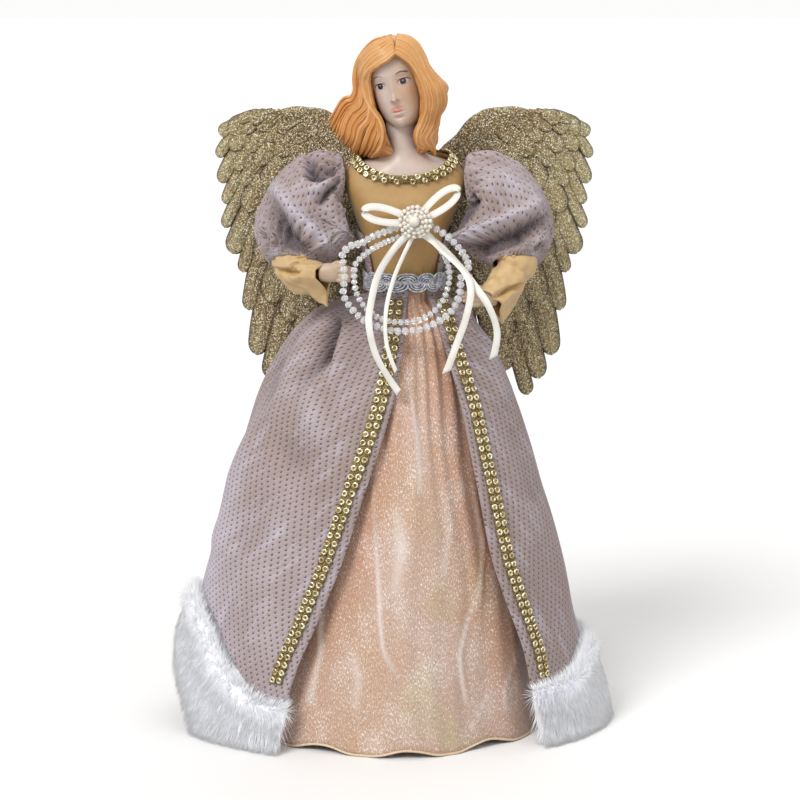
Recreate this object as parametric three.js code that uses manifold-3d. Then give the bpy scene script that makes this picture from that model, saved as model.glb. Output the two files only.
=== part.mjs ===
// A fabric angel tree topper: a card cone dressed in two skirts and an open coat with a fur hem,
// carrying a cast head and bust, feathered wings, and two wired arms that hold a ring of beads
// with a ribbon bow and a pearl brooch.
// Millimetres, +Z up, front of the figure towards -Y, origin at the centre of the footprint.
import * as THREE from "three";
import { mergeVertices } from "three/addons/utils/BufferGeometryUtils.js";
import Module from "manifold-3d";

const wasm = await Module();
wasm.setup();

// Clearances and sheet thicknesses
const clearance = 0.35; // between two pieces that touch
const cardThickness = 1.2;
const liningThickness = 0.8;
const organzaThickness = 0.9;
const coatThickness = 1.5;
const satinThickness = 1.1;
const overrun = 4; // how far a cutting tool runs past what it cuts
const weldDistance = 1e-4; // corners of a mesh closer than this are one corner

// Overall sizes
const waistHeight = 262; // floor to the bottom edge of the bodice
const bodyLean = 6.5; // the body stands this far to +X of the footprint's centre at the waist
const torsoHeight = 75; // waist to the neckline at the back
const shoulderHalfWidth = 36;
const chestHalfDepth = 21.5;
const neckHalfWidth = 9;
const headHalfWidth = 14.6;
const headHalfDepth = 17;
const headHalfHeight = 23;

// Cone
const coneBottomRadius = 60;
const coneTopRadius = 11.5;
const coneSpigotLength = 12;

// Skirts and coat
const skirtHalfWidth = 94; // organza skirt at the floor
const skirtFrontDepth = 85;
const skirtBackDepth = 71;
const coatLeftWidth = 119; // coat at its hem towards -X
const coatRightWidth = 113; // and towards +X
const coatBackDepth = 75;
const skirtFoldDepth = 2.6;
const liningInset = 2.4; // lining inside the organza at the floor
const liningHemLift = 4;
const hemWave = 3.4; // how far the organza hem rises between its lowest points
const coatHemHeight = 80; // highest point of the coat's hem, on the lifted side
const coatPleatDepth = 7;
const furThickness = 9;
const furRise = 42; // lowest edge of the fur above the floor, on the lifted side

// Rhinestone trims and waist braid
const stonePitch = 4.7;
const trimWidth = 8.4;
const trimBacking = 0.7;
const stoneHeight = 1.5;
const trimInset = 5.4; // from the coat's front edge to the trim
const neckTrimWidth = 7.4;
const braidHeight = 11.5;
const braidThickness = 1.6;
const braidScallop = 1.7;

// Arms
const armAxisShare = 0.707; // hinge line of the arm wire over the torso's height
const wireRadius = 1.1;
const wireHoleRadius = 1.6;
const armholeRadius = 12.5;
const sleeveBulge = 27; // half width of the puffed sleeve
const sleeveThickness = 1.6;
const sleeveFoldDepth = 5;
const elbowReach = 64; // from the body's middle to the elbow
const elbowForward = 17;
const elbowDrop = 42; // below the arm axis
const leftWristReach = 46; // towards -X
const rightWristReach = 50;
const wristForward = 36; // in front of the arm axis
const leftWristDrop = 43; // below the arm axis, towards -X
const rightWristDrop = 57;
const cuffRadius = 10.5;
const cuffThickness = 1.2;
const handLength = 19;
const handHeight = 11.4;
const handThickness = 8;
const handTurn = 15; // degrees that the fingers point forwards of straight across

// Bead ring, bow and brooch
const broochAcross = 6.3; // centre of the brooch from the body's middle
const broochRise = 38.5; // and above the waist
const garlandHalfWidth = 36;
const garlandDrop = 60; // brooch to the lowest bead
const bowLoopLength = 30;
const bowLoopWidth = 10;
const knotRadius = 4.4;
const knotDepth = 3.8;
const beadRadius = 2.3;
const smallBeadRadius = 1.8;
const threadRadius = 0.5;
const beadPitch = 4.9;
const smallBeadPitch = 4.1;
const ribbonWidth = 4;
const ribbonThickness = 0.5;
const broochRadius = 10;
const broochThickness = 1.8;
const pearlRadius = 1.35;
const centrePearlRadius = 3.1;

// Wings
const wingSpan = 112; // body's middle to the outermost feather tip
const wingHeight = 178; // lowest feather tip to the leading edge
const wingSweep = 10; // degrees that each wing is swept back
const wingTop = 101; // top of the leading edge above the waist
const featherThickness = 2.6;
const featherLayer = 2; // each layer of feathers stands this far in front of the one below
const bridgeWidth = 44;
const bridgeHeight = 26;
const bridgeThickness = 2.2;

const TAU = Math.PI * 2;
const armAxisHeight = torsoHeight * armAxisShare;
const { lerp, degToRad, clamp } = THREE.MathUtils;
const point = (x, y, z) => new THREE.Vector3(x, y, z);
const bell = (distance, width) => Math.exp(-((distance / width) ** 2));

// Smooth reading of a table whose rows are [place, value, ...], ordered by place.
function read(table, place, column = 1) {
  const last = table.length - 1;
  if (place <= table[0][0]) return table[0][column];
  if (place >= table[last][0]) return table[last][column];
  let k = 0;
  while (table[k + 1][0] < place) k += 1;
  const slope = (i) => {
    const before = table[Math.max(i - 1, 0)];
    const after = table[Math.min(i + 1, last)];
    return (after[column] - before[column]) / (after[0] - before[0]);
  };
  const width = table[k + 1][0] - table[k][0];
  const s = (place - table[k][0]) / width;
  const start = table[k][column];
  const end = table[k + 1][column];
  return (
    start * (1 + 2 * s) * (1 - s) ** 2 +
    end * s * s * (3 - 2 * s) +
    width * s * (1 - s) * (slope(k) * (1 - s) - slope(k + 1) * s)
  );
}

// A closed mesh from points and faces of three or four corners, turned to face outwards.
function closedGeometry(points, faces) {
  const triangles = [];
  for (const f of faces) {
    triangles.push([f[0], f[1], f[2]]);
    if (f.length === 4) triangles.push([f[0], f[2], f[3]]);
  }
  let volume = 0;
  const normal = point(0, 0, 0);
  for (const [a, b, c] of triangles) volume += normal.crossVectors(points[a], points[b]).dot(points[c]);
  const index = triangles.flatMap(([a, b, c]) => (volume < 0 ? [a, c, b] : [a, b, c]));
  const geometry = new THREE.BufferGeometry().setFromPoints(points);
  geometry.setIndex(index);
  geometry.computeVertexNormals();
  return geometry;
}

// A sheet with thickness: outer(i, j) and inner(i, j) give its two faces, j runs round or across.
function sheetGeometry(rows, columns, round, outer, inner) {
  const across = round ? columns : columns + 1;
  const points = [];
  for (const face of [outer, inner]) {
    for (let i = 0; i <= rows; i += 1) {
      for (let j = 0; j < across; j += 1) points.push(face(i, j));
    }
  }
  const at = (side, i, j) => side * (rows + 1) * across + i * across + (j % across);
  const faces = [];
  for (let i = 0; i < rows; i += 1) {
    for (let j = 0; j < columns; j += 1) {
      faces.push([at(0, i, j), at(0, i, j + 1), at(0, i + 1, j + 1), at(0, i + 1, j)]);
      faces.push([at(1, i, j), at(1, i + 1, j), at(1, i + 1, j + 1), at(1, i, j + 1)]);
    }
  }
  for (let j = 0; j < columns; j += 1) {
    faces.push([at(0, 0, j), at(1, 0, j), at(1, 0, j + 1), at(0, 0, j + 1)]);
    faces.push([at(0, rows, j), at(0, rows, j + 1), at(1, rows, j + 1), at(1, rows, j)]);
  }
  if (!round) {
    for (let i = 0; i < rows; i += 1) {
      faces.push([at(0, i, 0), at(0, i + 1, 0), at(1, i + 1, 0), at(1, i, 0)]);
      faces.push([at(0, i, columns), at(1, i, columns), at(1, i + 1, columns), at(0, i + 1, columns)]);
    }
  }
  return closedGeometry(points, faces);
}

// A solid through rings of equal counts of points, capped at both ends or closed on itself.
function loftGeometry(rings, closed = false) {
  const count = rings[0].length;
  const points = rings.flat();
  const faces = [];
  const steps = closed ? rings.length : rings.length - 1;
  for (let i = 0; i < steps; i += 1) {
    const next = (i + 1) % rings.length;
    for (let j = 0; j < count; j += 1) {
      const k = (j + 1) % count;
      faces.push([i * count + j, i * count + k, next * count + k, next * count + j]);
    }
  }
  if (!closed) {
    for (const [ring, turn] of [[0, true], [rings.length - 1, false]]) {
      const middle = point(0, 0, 0);
      rings[ring].forEach((p) => middle.add(p));
      points.push(middle.divideScalar(count));
      for (let j = 0; j < count; j += 1) {
        const edge = [ring * count + j, ring * count + ((j + 1) % count)];
        faces.push(turn ? [edge[1], edge[0], points.length - 1] : [edge[0], edge[1], points.length - 1]);
      }
    }
  }
  return closedGeometry(points, faces);
}

// Rings of a section swept along a list of points. section(i, count) gives [[side, lift], ...],
// and side(i) the direction that the section's first axis keeps to.
function sweptRings(path, side, section, closed = false) {
  const count = path.length;
  return path.map((p, i) => {
    const before = path[closed ? (i + count - 1) % count : Math.max(i - 1, 0)];
    const after = path[closed ? (i + 1) % count : Math.min(i + 1, count - 1)];
    const along = after.clone().sub(before).normalize();
    const across = side(i).clone();
    across.addScaledVector(along, -across.dot(along)).normalize();
    const lift = along.clone().cross(across);
    return section(i, count).map(([a, b]) => p.clone().addScaledVector(across, a).addScaledVector(lift, b));
  });
}

const circle = (radius, sides) =>
  Array.from({ length: sides }, (_, k) => {
    const angle = (k / sides) * TAU;
    return [radius * Math.cos(angle), radius * Math.sin(angle)];
  });

// Booleans on closed geometries.
function solidOf(geometry) {
  const bare = new THREE.BufferGeometry().setAttribute("position", geometry.getAttribute("position"));
  bare.setIndex(geometry.getIndex());
  const merged = mergeVertices(bare, weldDistance);
  return new wasm.Manifold(
    new wasm.Mesh({
      numProp: 3,
      vertProperties: merged.getAttribute("position").array,
      triVerts: new Uint32Array(merged.getIndex().array),
    }),
  );
}

function geometryOf(solid) {
  const mesh = solid.getMesh();
  const geometry = new THREE.BufferGeometry();
  geometry.setAttribute("position", new THREE.BufferAttribute(mesh.vertProperties, 3));
  geometry.setIndex(new THREE.BufferAttribute(mesh.triVerts, 1));
  geometry.computeVertexNormals();
  return geometry;
}

const joined = (geometries) => geometries.map(solidOf).reduce((whole, piece) => whole.add(piece));

// The same geometry seen in a mirror across the figure's middle.
function mirrored(geometry) {
  const copy = geometry.clone().scale(-1, 1, 1);
  const index = copy.getIndex().array;
  for (let i = 0; i < index.length; i += 3) [index[i + 1], index[i + 2]] = [index[i + 2], index[i + 1]];
  copy.computeVertexNormals();
  return copy;
}

// Finishes
const finish = (color, roughness, metalness = 0) =>
  new THREE.MeshStandardMaterial({ color, roughness, metalness });
const finishes = {
  card: finish(0xcdb99a, 0.9),
  peachSatin: finish(0xe2b48f, 0.45),
  organza: finish(0xe9c4a6, 0.35),
  mauveKnit: finish(0xb3a0a3, 0.85),
  fur: finish(0xf3f4f8, 0.95),
  goldSatin: finish(0xc99a4e, 0.4),
  stones: finish(0xd8bd76, 0.25, 0.9),
  silverBraid: finish(0x9aa0aa, 0.4, 0.3),
  skin: finish(0xe3cdbf, 0.5),
  hair: finish(0xd8893a, 0.6),
  foam: finish(0xe8e4da, 0.9),
  wire: finish(0x8d9094, 0.35, 1),
  crystal: finish(0xe4e2e6, 0.08),
  ribbon: finish(0xf6f3ea, 0.35),
  pearl: finish(0xf3eee2, 0.25),
  glitterGold: finish(0x9b8a52, 0.5, 0.7),
};

const angel = new THREE.Group();
const upperBody = new THREE.Group(); // everything above the waist, placed on the leaning body's axis
upperBody.position.set(bodyLean, 0, waistHeight);
angel.add(upperBody);

function place(group, name, geometry, material) {
  const mesh = new THREE.Mesh(geometry, material);
  mesh.name = name;
  group.add(mesh);
  return mesh;
}

// Card cone: the stand, open at the foot for the tip of a tree.
function coneGeometry() {
  const top = waistHeight - coneSpigotLength / 2;
  const profile = [
    [coneBottomRadius, 0],
    [coneTopRadius, top],
    [coneTopRadius - cardThickness, top],
    [coneBottomRadius - cardThickness, 0],
    [coneBottomRadius, 0],
  ].map(([radius, height]) => new THREE.Vector2(radius, height));
  const geometry = new THREE.LatheGeometry(profile, 32).rotateX(Math.PI / 2);
  const lean = new THREE.Matrix4().makeShear(0, 0, 0, 0, bodyLean / waistHeight, 0);
  return geometry.applyMatrix4(lean);
}
place(angel, "base_cone", coneGeometry(), finishes.card);

// Skirts. Shares of the floor sizes against the share of the waist height.
const skirtShares = [
  // height, half width, front depth, back depth
  [0, 1, 1, 1],
  [0.15, 0.935, 0.955, 0.95],
  [0.31, 0.85, 0.89, 0.87],
  [0.46, 0.75, 0.8, 0.77],
  [0.61, 0.635, 0.69, 0.65],
  [0.76, 0.51, 0.55, 0.52],
  [0.89, 0.37, 0.38, 0.385],
  [0.94, 0.285, 0.27, 0.3],
  [0.965, 0.205, 0.182, 0.215],
  [1, 0.205, 0.182, 0.215],
];
const skirtTop = waistHeight - 2 * clearance;
const axisAt = (z) => (bodyLean * z) / waistHeight;

// A point of the organza skirt's outer face, moved outwards by offset.
function skirtPoint(angle, z, offset) {
  const height = z / waistHeight;
  const side = skirtHalfWidth * read(skirtShares, height, 1);
  const front = skirtFrontDepth * read(skirtShares, height, 2);
  const back = skirtBackDepth * read(skirtShares, height, 3);
  const depth = lerp(back, front, (1 - Math.sin(angle)) / 2);
  return point(axisAt(z) + (side + offset) * Math.cos(angle), (depth + offset) * Math.sin(angle), z);
}

// Soft gathers that grow towards the hem, never further out than the plain skirt.
function organzaFold(angle, down) {
  const gathers = Math.cos(9 * angle + 1.2 * Math.sin(2 * angle) + 0.8 * down);
  return -skirtFoldDepth * down * (0.5 - 0.5 * gathers);
}

// Rows of the skirts lie closer together near the waist, where the cloth turns outwards.
const rowDown = (i, rows) => (i / rows) ** 1.7;

function skirtGeometry(rows, columns, top, hem, offset, fold, thickness) {
  const face = (inset) => (i, j) => {
    const angle = (j / columns) * TAU;
    const down = rowDown(i, rows);
    const z = lerp(top, hem(angle), down);
    return skirtPoint(angle, z, offset(down) + fold(angle, down) - inset);
  };
  return sheetGeometry(rows, columns, true, face(0), face(thickness));
}
function organzaHem(angle) {
  const wave = 0.5 - 0.5 * Math.cos(5 * angle + 0.6);
  return hemWave * wave * (0.6 - 0.4 * Math.sin(angle));
}
const organza = skirtGeometry(8, 36, skirtTop, organzaHem, () => 0, organzaFold, organzaThickness);
place(angel, "organza_skirt", organza, finishes.organza);

const liningOffset = (down) =>
  -organzaThickness - 6 * clearance - (skirtFoldDepth + liningInset) * Math.min(1, down * 1.4);
const liningTop = waistHeight * 0.93;
const lining = skirtGeometry(5, 20, liningTop, () => liningHemLift, liningOffset, () => 0, liningThickness);
place(angel, "satin_lining", lining, finishes.peachSatin);

// Coat skirt: open at the front, lifted at the hem on one side.
const coatShares = [
  // height, half width towards +X, towards -X
  [0.14, 1.0, 1.0],
  [0.2, 0.975, 1.0],
  [0.31, 0.915, 0.985],
  [0.41, 0.855, 0.945],
  [0.49, 0.805, 0.885],
  [0.6, 0.725, 0.825],
  [0.7, 0.64, 0.765],
  [0.78, 0.565, 0.7],
  [0.85, 0.48, 0.615],
  [0.9, 0.405, 0.535],
  [0.945, 0.33, 0.42],
  [0.965, 0.25, 0.3],
  [0.978, 0.182, 0.176],
  [1, 0.182, 0.176],
];
const coatFrontEdgeShares = [
  // height, edge towards +X, towards -X, as shares of the coat's half width on that side
  [0.14, 0.7, -0.51],
  [0.21, 0.665, -0.46],
  [0.27, 0.615, -0.405],
  [0.34, 0.55, -0.345],
  [0.43, 0.475, -0.27],
  [0.57, 0.4, -0.175],
  [0.66, 0.35, -0.11],
  [0.76, 0.295, -0.045],
  [0.86, 0.22, -0.005],
  [0.95, 0.15, 0.012],
  [1, 0.095, 0.02],
];
const coatHemShares = [
  // across the cloth from the front edge at +X round the back to the one at -X
  [0, 0.44],
  [0.06, 0.47],
  [0.14, 0.64],
  [0.3, 0.6],
  [0.5, 0.56],
  [0.66, 0.76],
  [0.79, 1.02],
  [0.868, 0.85],
  [0.91, 0.62],
  [0.964, 0.39],
  [1, 0.36],
];
const coatTop = waistHeight - clearance;
const coatGap = 3 * clearance + coatThickness; // the coat's outer face beyond the organza's

function coatSide(angle, z) {
  const height = z / waistHeight;
  const right = coatRightWidth * read(coatShares, height, 1);
  const left = coatLeftWidth * read(coatShares, height, 2);
  return lerp(left, right, (1 + Math.cos(angle)) / 2);
}

// A point of the coat's outer face, moved outwards by offset.
function coatPoint(angle, z, offset) {
  const height = z / waistHeight;
  const front = skirtFrontDepth * read(skirtShares, height, 2) + coatGap;
  const backDepth = lerp(skirtBackDepth, coatBackDepth, clamp(8 * (1 - height), 0, 1));
  const back = backDepth * read(skirtShares, height, 3) + coatGap;
  const depth = lerp(back, front, (1 - Math.sin(angle)) / 2);
  const side = Math.max(coatSide(angle, z), skirtHalfWidth * read(skirtShares, height, 1) + coatGap);
  return point(axisAt(z) + (side + offset) * Math.cos(angle), (depth + offset) * Math.sin(angle), z);
}

// The angles of the coat's front edges at a height: from a little below 0 round to past PI.
function coatEdges(z) {
  const height = z / waistHeight;
  const rightX = coatRightWidth * read(coatFrontEdgeShares, height, 1);
  const leftX = coatLeftWidth * read(coatFrontEdgeShares, height, 2);
  const right = -Math.acos(clamp(rightX / coatSide(-1, z), -1, 1));
  const left = TAU - Math.acos(clamp(leftX / coatSide(4, z), -1, 1));
  return [right, left];
}

// Two deep pleats beside the front edge at -X, softer waves round the sides and the back.
function coatFold(across, down) {
  const pleat = bell(across - 0.9 + 0.1 * down, 0.035 + 0.05 * down) * bell(down - 0.14, 0.2);
  const second = bell(across - 0.78 + 0.06 * down, 0.035 + 0.03 * down) * bell(down - 0.3, 0.3);
  const swell = bell(across - 0.84, 0.05) * bell(down - 0.3, 0.25);
  const waves = 0.5 - 0.5 * Math.cos(7 * TAU * across);
  const back = bell(across - 0.45, 0.3) * waves * Math.min(1, 3 * down);
  return coatPleatDepth * (0.35 * swell - pleat - 0.6 * second - 0.5 * back);
}

const coatHem = (across) => coatHemHeight * read(coatHemShares, across);

function coatSurface(across, down, offset) {
  const z = lerp(coatTop, coatHem(across), down);
  const [right, left] = coatEdges(z);
  const angle = lerp(right, left, across);
  const room = coatSide(angle, z) - skirtHalfWidth * read(skirtShares, z / waistHeight, 1) - coatGap;
  const fold = Math.max(coatFold(across, down), -0.8 * Math.max(0, room * Math.abs(Math.cos(angle))));
  return coatPoint(angle, z, fold + offset);
}

const hemSteps = 32; // columns of the coat, and steps of the fur along its hem

function coatGeometry(rows, columns) {
  const face = (inset) => (i, j) => coatSurface(j / columns, rowDown(i, rows), -inset);
  return sheetGeometry(rows, columns, false, face(0), face(coatThickness));
}
place(angel, "coat_skirt", coatGeometry(9, hemSteps), finishes.mauveKnit);

// Fur band along the coat's hem.
const furRiseShares = [
  // lowest edge of the fur, across the cloth as above
  [0, 0.05],
  [0.06, 0],
  [0.14, 0],
  [0.3, 0.06],
  [0.5, 0.02],
  [0.66, 0.45],
  [0.79, 1],
  [0.868, 0.4],
  [0.91, 0.03],
  [0.964, 0.02],
  [1, 0.08],
];

function furGeometry(steps, sides) {
  const rings = [];
  const halfTurn = Math.PI / sides;
  const flat = Math.cos(halfTurn) ** 0.7; // brings the section's first and last corners to its ends
  for (let i = 0; i <= steps; i += 1) {
    const across = i / steps;
    const top = coatSurface(across, 1, -coatThickness / 2);
    const above = coatSurface(across, 0.9, -coatThickness / 2);
    const down = top.clone().sub(above).normalize();
    const outward = coatSurface(across, 1, coatThickness).sub(top).setZ(0).normalize();
    const fall = top.z - furRise * read(furRiseShares, across) - 2 * clearance;
    const length = fall / -down.z;
    const ends = Math.min(1, 6 * Math.min(across, 1 - across) + 0.55);
    const reach = (furThickness / 2) * ends;
    const middle = top.clone().addScaledVector(down, length / 2 + 2 * clearance);
    middle.addScaledVector(outward, reach - coatThickness / 2);
    rings.push(
      Array.from({ length: sides }, (_, k) => {
        const angle = (k / sides) * TAU + halfTurn;
        const a = (Math.sign(Math.cos(angle)) * Math.abs(Math.cos(angle)) ** 0.7 * (length / 2)) / flat;
        const b = Math.sign(Math.sin(angle)) * Math.abs(Math.sin(angle)) ** 0.8 * reach;
        const p = middle.clone().addScaledVector(down, a).addScaledVector(outward, b);
        return p.setZ(Math.max(0, p.z));
      }),
    );
  }
  return loftGeometry(rings);
}
place(angel, "fur_band", furGeometry(hemSteps, 8), finishes.fur);

// Rhinestone trims: a backing strip whose upper face rises to a point at each stone.
// at(row, lane, lift) gives the strip's points; lanes 0 to 2 run across it.
function stoneStrip(rows, closed, at) {
  const count = closed ? rows : rows + 1;
  const points = [];
  for (let i = 0; i < count; i += 1) {
    points.push(at(i, 0, 0), at(i, 2, 0), ...[0, 1, 2].map((lane) => at(i, lane, trimBacking)));
  }
  const [low, lowFar, top, middle, topFar] = [0, 1, 2, 3, 4];
  const index = (i, corner) => (i % count) * 5 + corner;
  const faces = [];
  for (let i = 0; i < rows; i += 1) {
    for (const lane of [0, 1]) {
      const near = top + lane;
      const corners = [index(i, near), index(i, near + 1), index(i + 1, near + 1), index(i + 1, near)];
      points.push(at(i + 0.5, lane + 0.5, trimBacking + stoneHeight));
      const tip = points.length - 1;
      corners.forEach((corner, k) => faces.push([corner, corners[(k + 1) % 4], tip]));
    }
    faces.push([index(i, low), index(i + 1, low), index(i + 1, lowFar), index(i, lowFar)]);
    faces.push([index(i, low), index(i, top), index(i + 1, top), index(i + 1, low)]);
    faces.push([index(i, topFar), index(i, lowFar), index(i + 1, lowFar), index(i + 1, topFar)]);
  }
  if (!closed) {
    const end = (i) => [
      [index(i, low), index(i, lowFar), index(i, middle)],
      [index(i, low), index(i, middle), index(i, top)],
      [index(i, lowFar), index(i, topFar), index(i, middle)],
    ];
    faces.push(...end(0), ...end(rows).map((f) => f.reverse()));
  }
  return closedGeometry(points, faces);
}

const turnStep = 0.01; // radians over which the coat's width per turn is measured

// A strip that follows one front edge of the coat. towards is +1 for the edge at +X, -1 at -X.
function coatTrimGeometry(towards) {
  const topZ = coatTop - braidHeight * 0.6;
  const edgeShare = towards > 0 ? 0 : 1;
  const lowZ = Math.max(coatHem(edgeShare), coatHem(Math.abs(edgeShare - 0.06))) + 4 * clearance;
  const rows = Math.round((topZ - lowZ) / stonePitch);
  return stoneStrip(rows, false, (i, lane, lift) => {
    const z = lerp(topZ, lowZ, i / rows);
    const edge = coatEdges(z)[edgeShare];
    const speed = coatPoint(edge + turnStep, z, 0).distanceTo(coatPoint(edge, z, 0)) / turnStep;
    const away = trimInset * Math.min(1, 0.35 + i / rows) + (lane / 2) * trimWidth;
    const overWaist = coatThickness * bell(z - topZ, braidHeight);
    return coatPoint(edge + (towards * away) / speed, z, 2 * clearance + overWaist + lift);
  });
}
place(angel, "coat_trim_right", coatTrimGeometry(1), finishes.stones);
place(angel, "coat_trim_left", coatTrimGeometry(-1), finishes.stones);

// Torso. Shares of the torso's height, shoulder half width and chest half depth.
const torsoShares = [
  // height, half width, half depth
  [0, 0.54, 0.72],
  [0.15, 0.56, 0.745],
  [0.35, 0.665, 0.88],
  [0.58, 0.82, 1],
  [0.74, 0.95, 0.93],
  [0.84, 0.99, 0.82],
  [0.9, 0.94, 0.77],
  [0.95, 0.85, 0.76],
  [1, 0.73, 0.74],
];
const necklineFrontShare = 0.84; // the neckline's height at the front against the back

function necklineRise(angle) {
  return torsoHeight * lerp(1, necklineFrontShare, ((1 - Math.sin(angle)) / 2) ** 2.2);
}

// A point of the bodice's outer face at a share of the way up to the neckline.
function bodicePoint(angle, up, offset) {
  const side = shoulderHalfWidth * read(torsoShares, up, 1) + offset;
  const depth = chestHalfDepth * read(torsoShares, up, 2) + offset;
  const squareness = 0.86;
  const c = Math.sign(Math.cos(angle)) * Math.abs(Math.cos(angle)) ** squareness;
  const s = Math.sign(Math.sin(angle)) * Math.abs(Math.sin(angle)) ** squareness;
  return point(side * c, depth * s, up * necklineRise(angle));
}

// Rows and columns shared by the core, the bodice and the shoulder plate.
const bodiceRowShares = [0, 0.2, 0.4, 0.6, 0.8, 0.88, 0.95, 1];
const bodiceSides = 24;
const bodiceAngle = (j) => (j / bodiceSides) * TAU;
const crossBar = (radius, length, sides) =>
  new THREE.CylinderGeometry(radius, radius, length, sides)
    .rotateZ(Math.PI / 2)
    .translate(0, 0, armAxisHeight);

const coreTopShare = 0.8; // the foam core ends and the shoulder plate begins here
const coreOffset = -satinThickness - 2 * clearance;

function torsoCoreGeometry() {
  const rings = bodiceRowShares
    .filter((up) => up <= coreTopShare)
    .map((up) =>
      Array.from({ length: bodiceSides }, (_, j) => {
        const p = bodicePoint(bodiceAngle(j), up, coreOffset);
        return up === 0 ? p.setZ(clearance) : p;
      }),
    );
  const spigotRadius = coneTopRadius - cardThickness - clearance;
  const spigotLength = coneSpigotLength + overrun;
  const spigot = new THREE.CylinderGeometry(spigotRadius, spigotRadius * 0.9, spigotLength, 24)
    .rotateX(Math.PI / 2)
    .translate(0, 0, clearance + overrun - spigotLength / 2);
  const bore = crossBar(wireHoleRadius, 2 * shoulderHalfWidth + overrun, 16);
  return geometryOf(solidOf(loftGeometry(rings)).add(solidOf(spigot)).subtract(solidOf(bore)));
}
place(upperBody, "torso_core", torsoCoreGeometry(), finishes.foam);

function bodiceGeometry() {
  const rows = bodiceRowShares.length - 1;
  const face = (inset) => (i, j) => bodicePoint(bodiceAngle(j), bodiceRowShares[i], -inset);
  const tube = solidOf(sheetGeometry(rows, bodiceSides, true, face(0), face(satinThickness)));
  return geometryOf(tube.subtract(solidOf(crossBar(2 * wireHoleRadius, 3 * shoulderHalfWidth, 12))));
}
place(upperBody, "bodice", bodiceGeometry(), finishes.goldSatin);

// The coat's upper part: back and sides under the arms, open over the bodice at the front.
const coatBackTopShares = [
  // share of the way round from one front edge to the other, share of the way up
  [0, 0.42],
  [0.2, 0.46],
  [0.34, 0.66],
  [0.5, 0.88],
  [0.66, 0.66],
  [0.8, 0.46],
  [1, 0.42],
];
function coatBackGeometry(rows) {
  const columns = (bodiceSides * 2) / 3;
  const start = (3 * clearance) / torsoHeight;
  const face = (inset) => (i, j) => {
    const across = j / columns;
    const angle = bodiceAngle(j - bodiceSides / 12);
    const up = lerp(start, read(coatBackTopShares, across), i / rows);
    return bodicePoint(angle, up, 3 * clearance + coatThickness - inset);
  };
  return sheetGeometry(rows, columns, false, face(0), face(coatThickness));
}
place(upperBody, "coat_back", coatBackGeometry(5), finishes.mauveKnit);

function neckTrimGeometry() {
  const girth = Math.PI * (shoulderHalfWidth * 0.8 + chestHalfDepth * 0.76);
  const stones = Math.round(girth / stonePitch);
  const span = neckTrimWidth / torsoHeight / 1.35;
  return stoneStrip(stones, true, (i, lane, lift) => {
    const angle = (i / stones) * TAU;
    const up = 1 - span * (1 - lane / 2);
    const p = bodicePoint(angle, up, 2 * clearance + lift * 0.8);
    return p.setZ(p.z + clearance + lift * 0.6);
  });
}
place(upperBody, "neck_trim", neckTrimGeometry(), finishes.stones);

// Scalloped braid round the waist, over the tops of the skirt and the bodice.
function braidGeometry(scallops) {
  const steps = scallops * 3;
  const inner = coatThickness + 5 * clearance;
  const face = (offset) => (i, j) => {
    const crest = j % 3 === 0 ? 1 : 0;
    const low = -braidHeight * 0.26 - braidScallop * (1 - crest);
    const high = braidHeight * 0.6 + braidScallop * crest;
    const z = i === 0 ? low : high;
    const p = bodicePoint((j / steps) * TAU, clamp(z / torsoHeight, 0, 1), inner + offset);
    return p.setZ(z);
  };
  return sheetGeometry(1, steps, true, face(braidThickness), face(0));
}
place(upperBody, "waist_braid", braidGeometry(14), finishes.silverBraid);

// Head, neck and shoulder plate: one casting.
const headPose = new THREE.Matrix4()
  .makeRotationFromEuler(new THREE.Euler(0, degToRad(-9), degToRad(-12)))
  .setPosition(-neckHalfWidth * 0.5, -headHalfDepth * 0.1, torsoHeight + headHalfHeight * 1.775);
const faceShares = [
  // height from chin to crown, half width, front depth, back depth
  [-1, 0.05, 0.3, -0.1],
  [-0.96, 0.3, 0.62, 0.1],
  [-0.85, 0.52, 0.8, 0.25],
  [-0.65, 0.72, 0.86, 0.45],
  [-0.4, 0.87, 0.89, 0.72],
  [-0.1, 0.96, 0.92, 0.92],
  [0.2, 1, 0.96, 1],
  [0.5, 0.95, 0.93, 0.98],
  [0.75, 0.76, 0.76, 0.82],
  [0.92, 0.44, 0.44, 0.5],
  [1, 0.03, 0.03, 0.03],
];
// Bumps and hollows of the face: across and up from its middle, size across and up, depth.
const featureShares = [
  [0, -0.33, 0.16, 0.17, 0.17], // tip of the nose
  [0, -0.08, 0.12, 0.2, 0.09], // bridge of the nose
  [0.36, 0.0, 0.26, 0.13, -0.07], // eye hollows
  [-0.36, 0.0, 0.26, 0.13, -0.07],
  [0, -0.56, 0.26, 0.06, 0.06], // lips
  [0, -0.65, 0.2, 0.06, 0.05],
  [0, -0.86, 0.28, 0.13, 0.07], // chin
  [0.5, -0.3, 0.28, 0.22, 0.03], // cheeks
  [-0.5, -0.3, 0.28, 0.22, 0.03],
];
// Rows of the head from chin to crown, closest together over the mouth and the nose.
const headRowShares = [
  -1, -0.95, -0.86, -0.76, -0.67, -0.6, -0.5, -0.38, -0.25, -0.1, 0.05, 0.22, 0.5, 0.8, 1,
];

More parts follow.
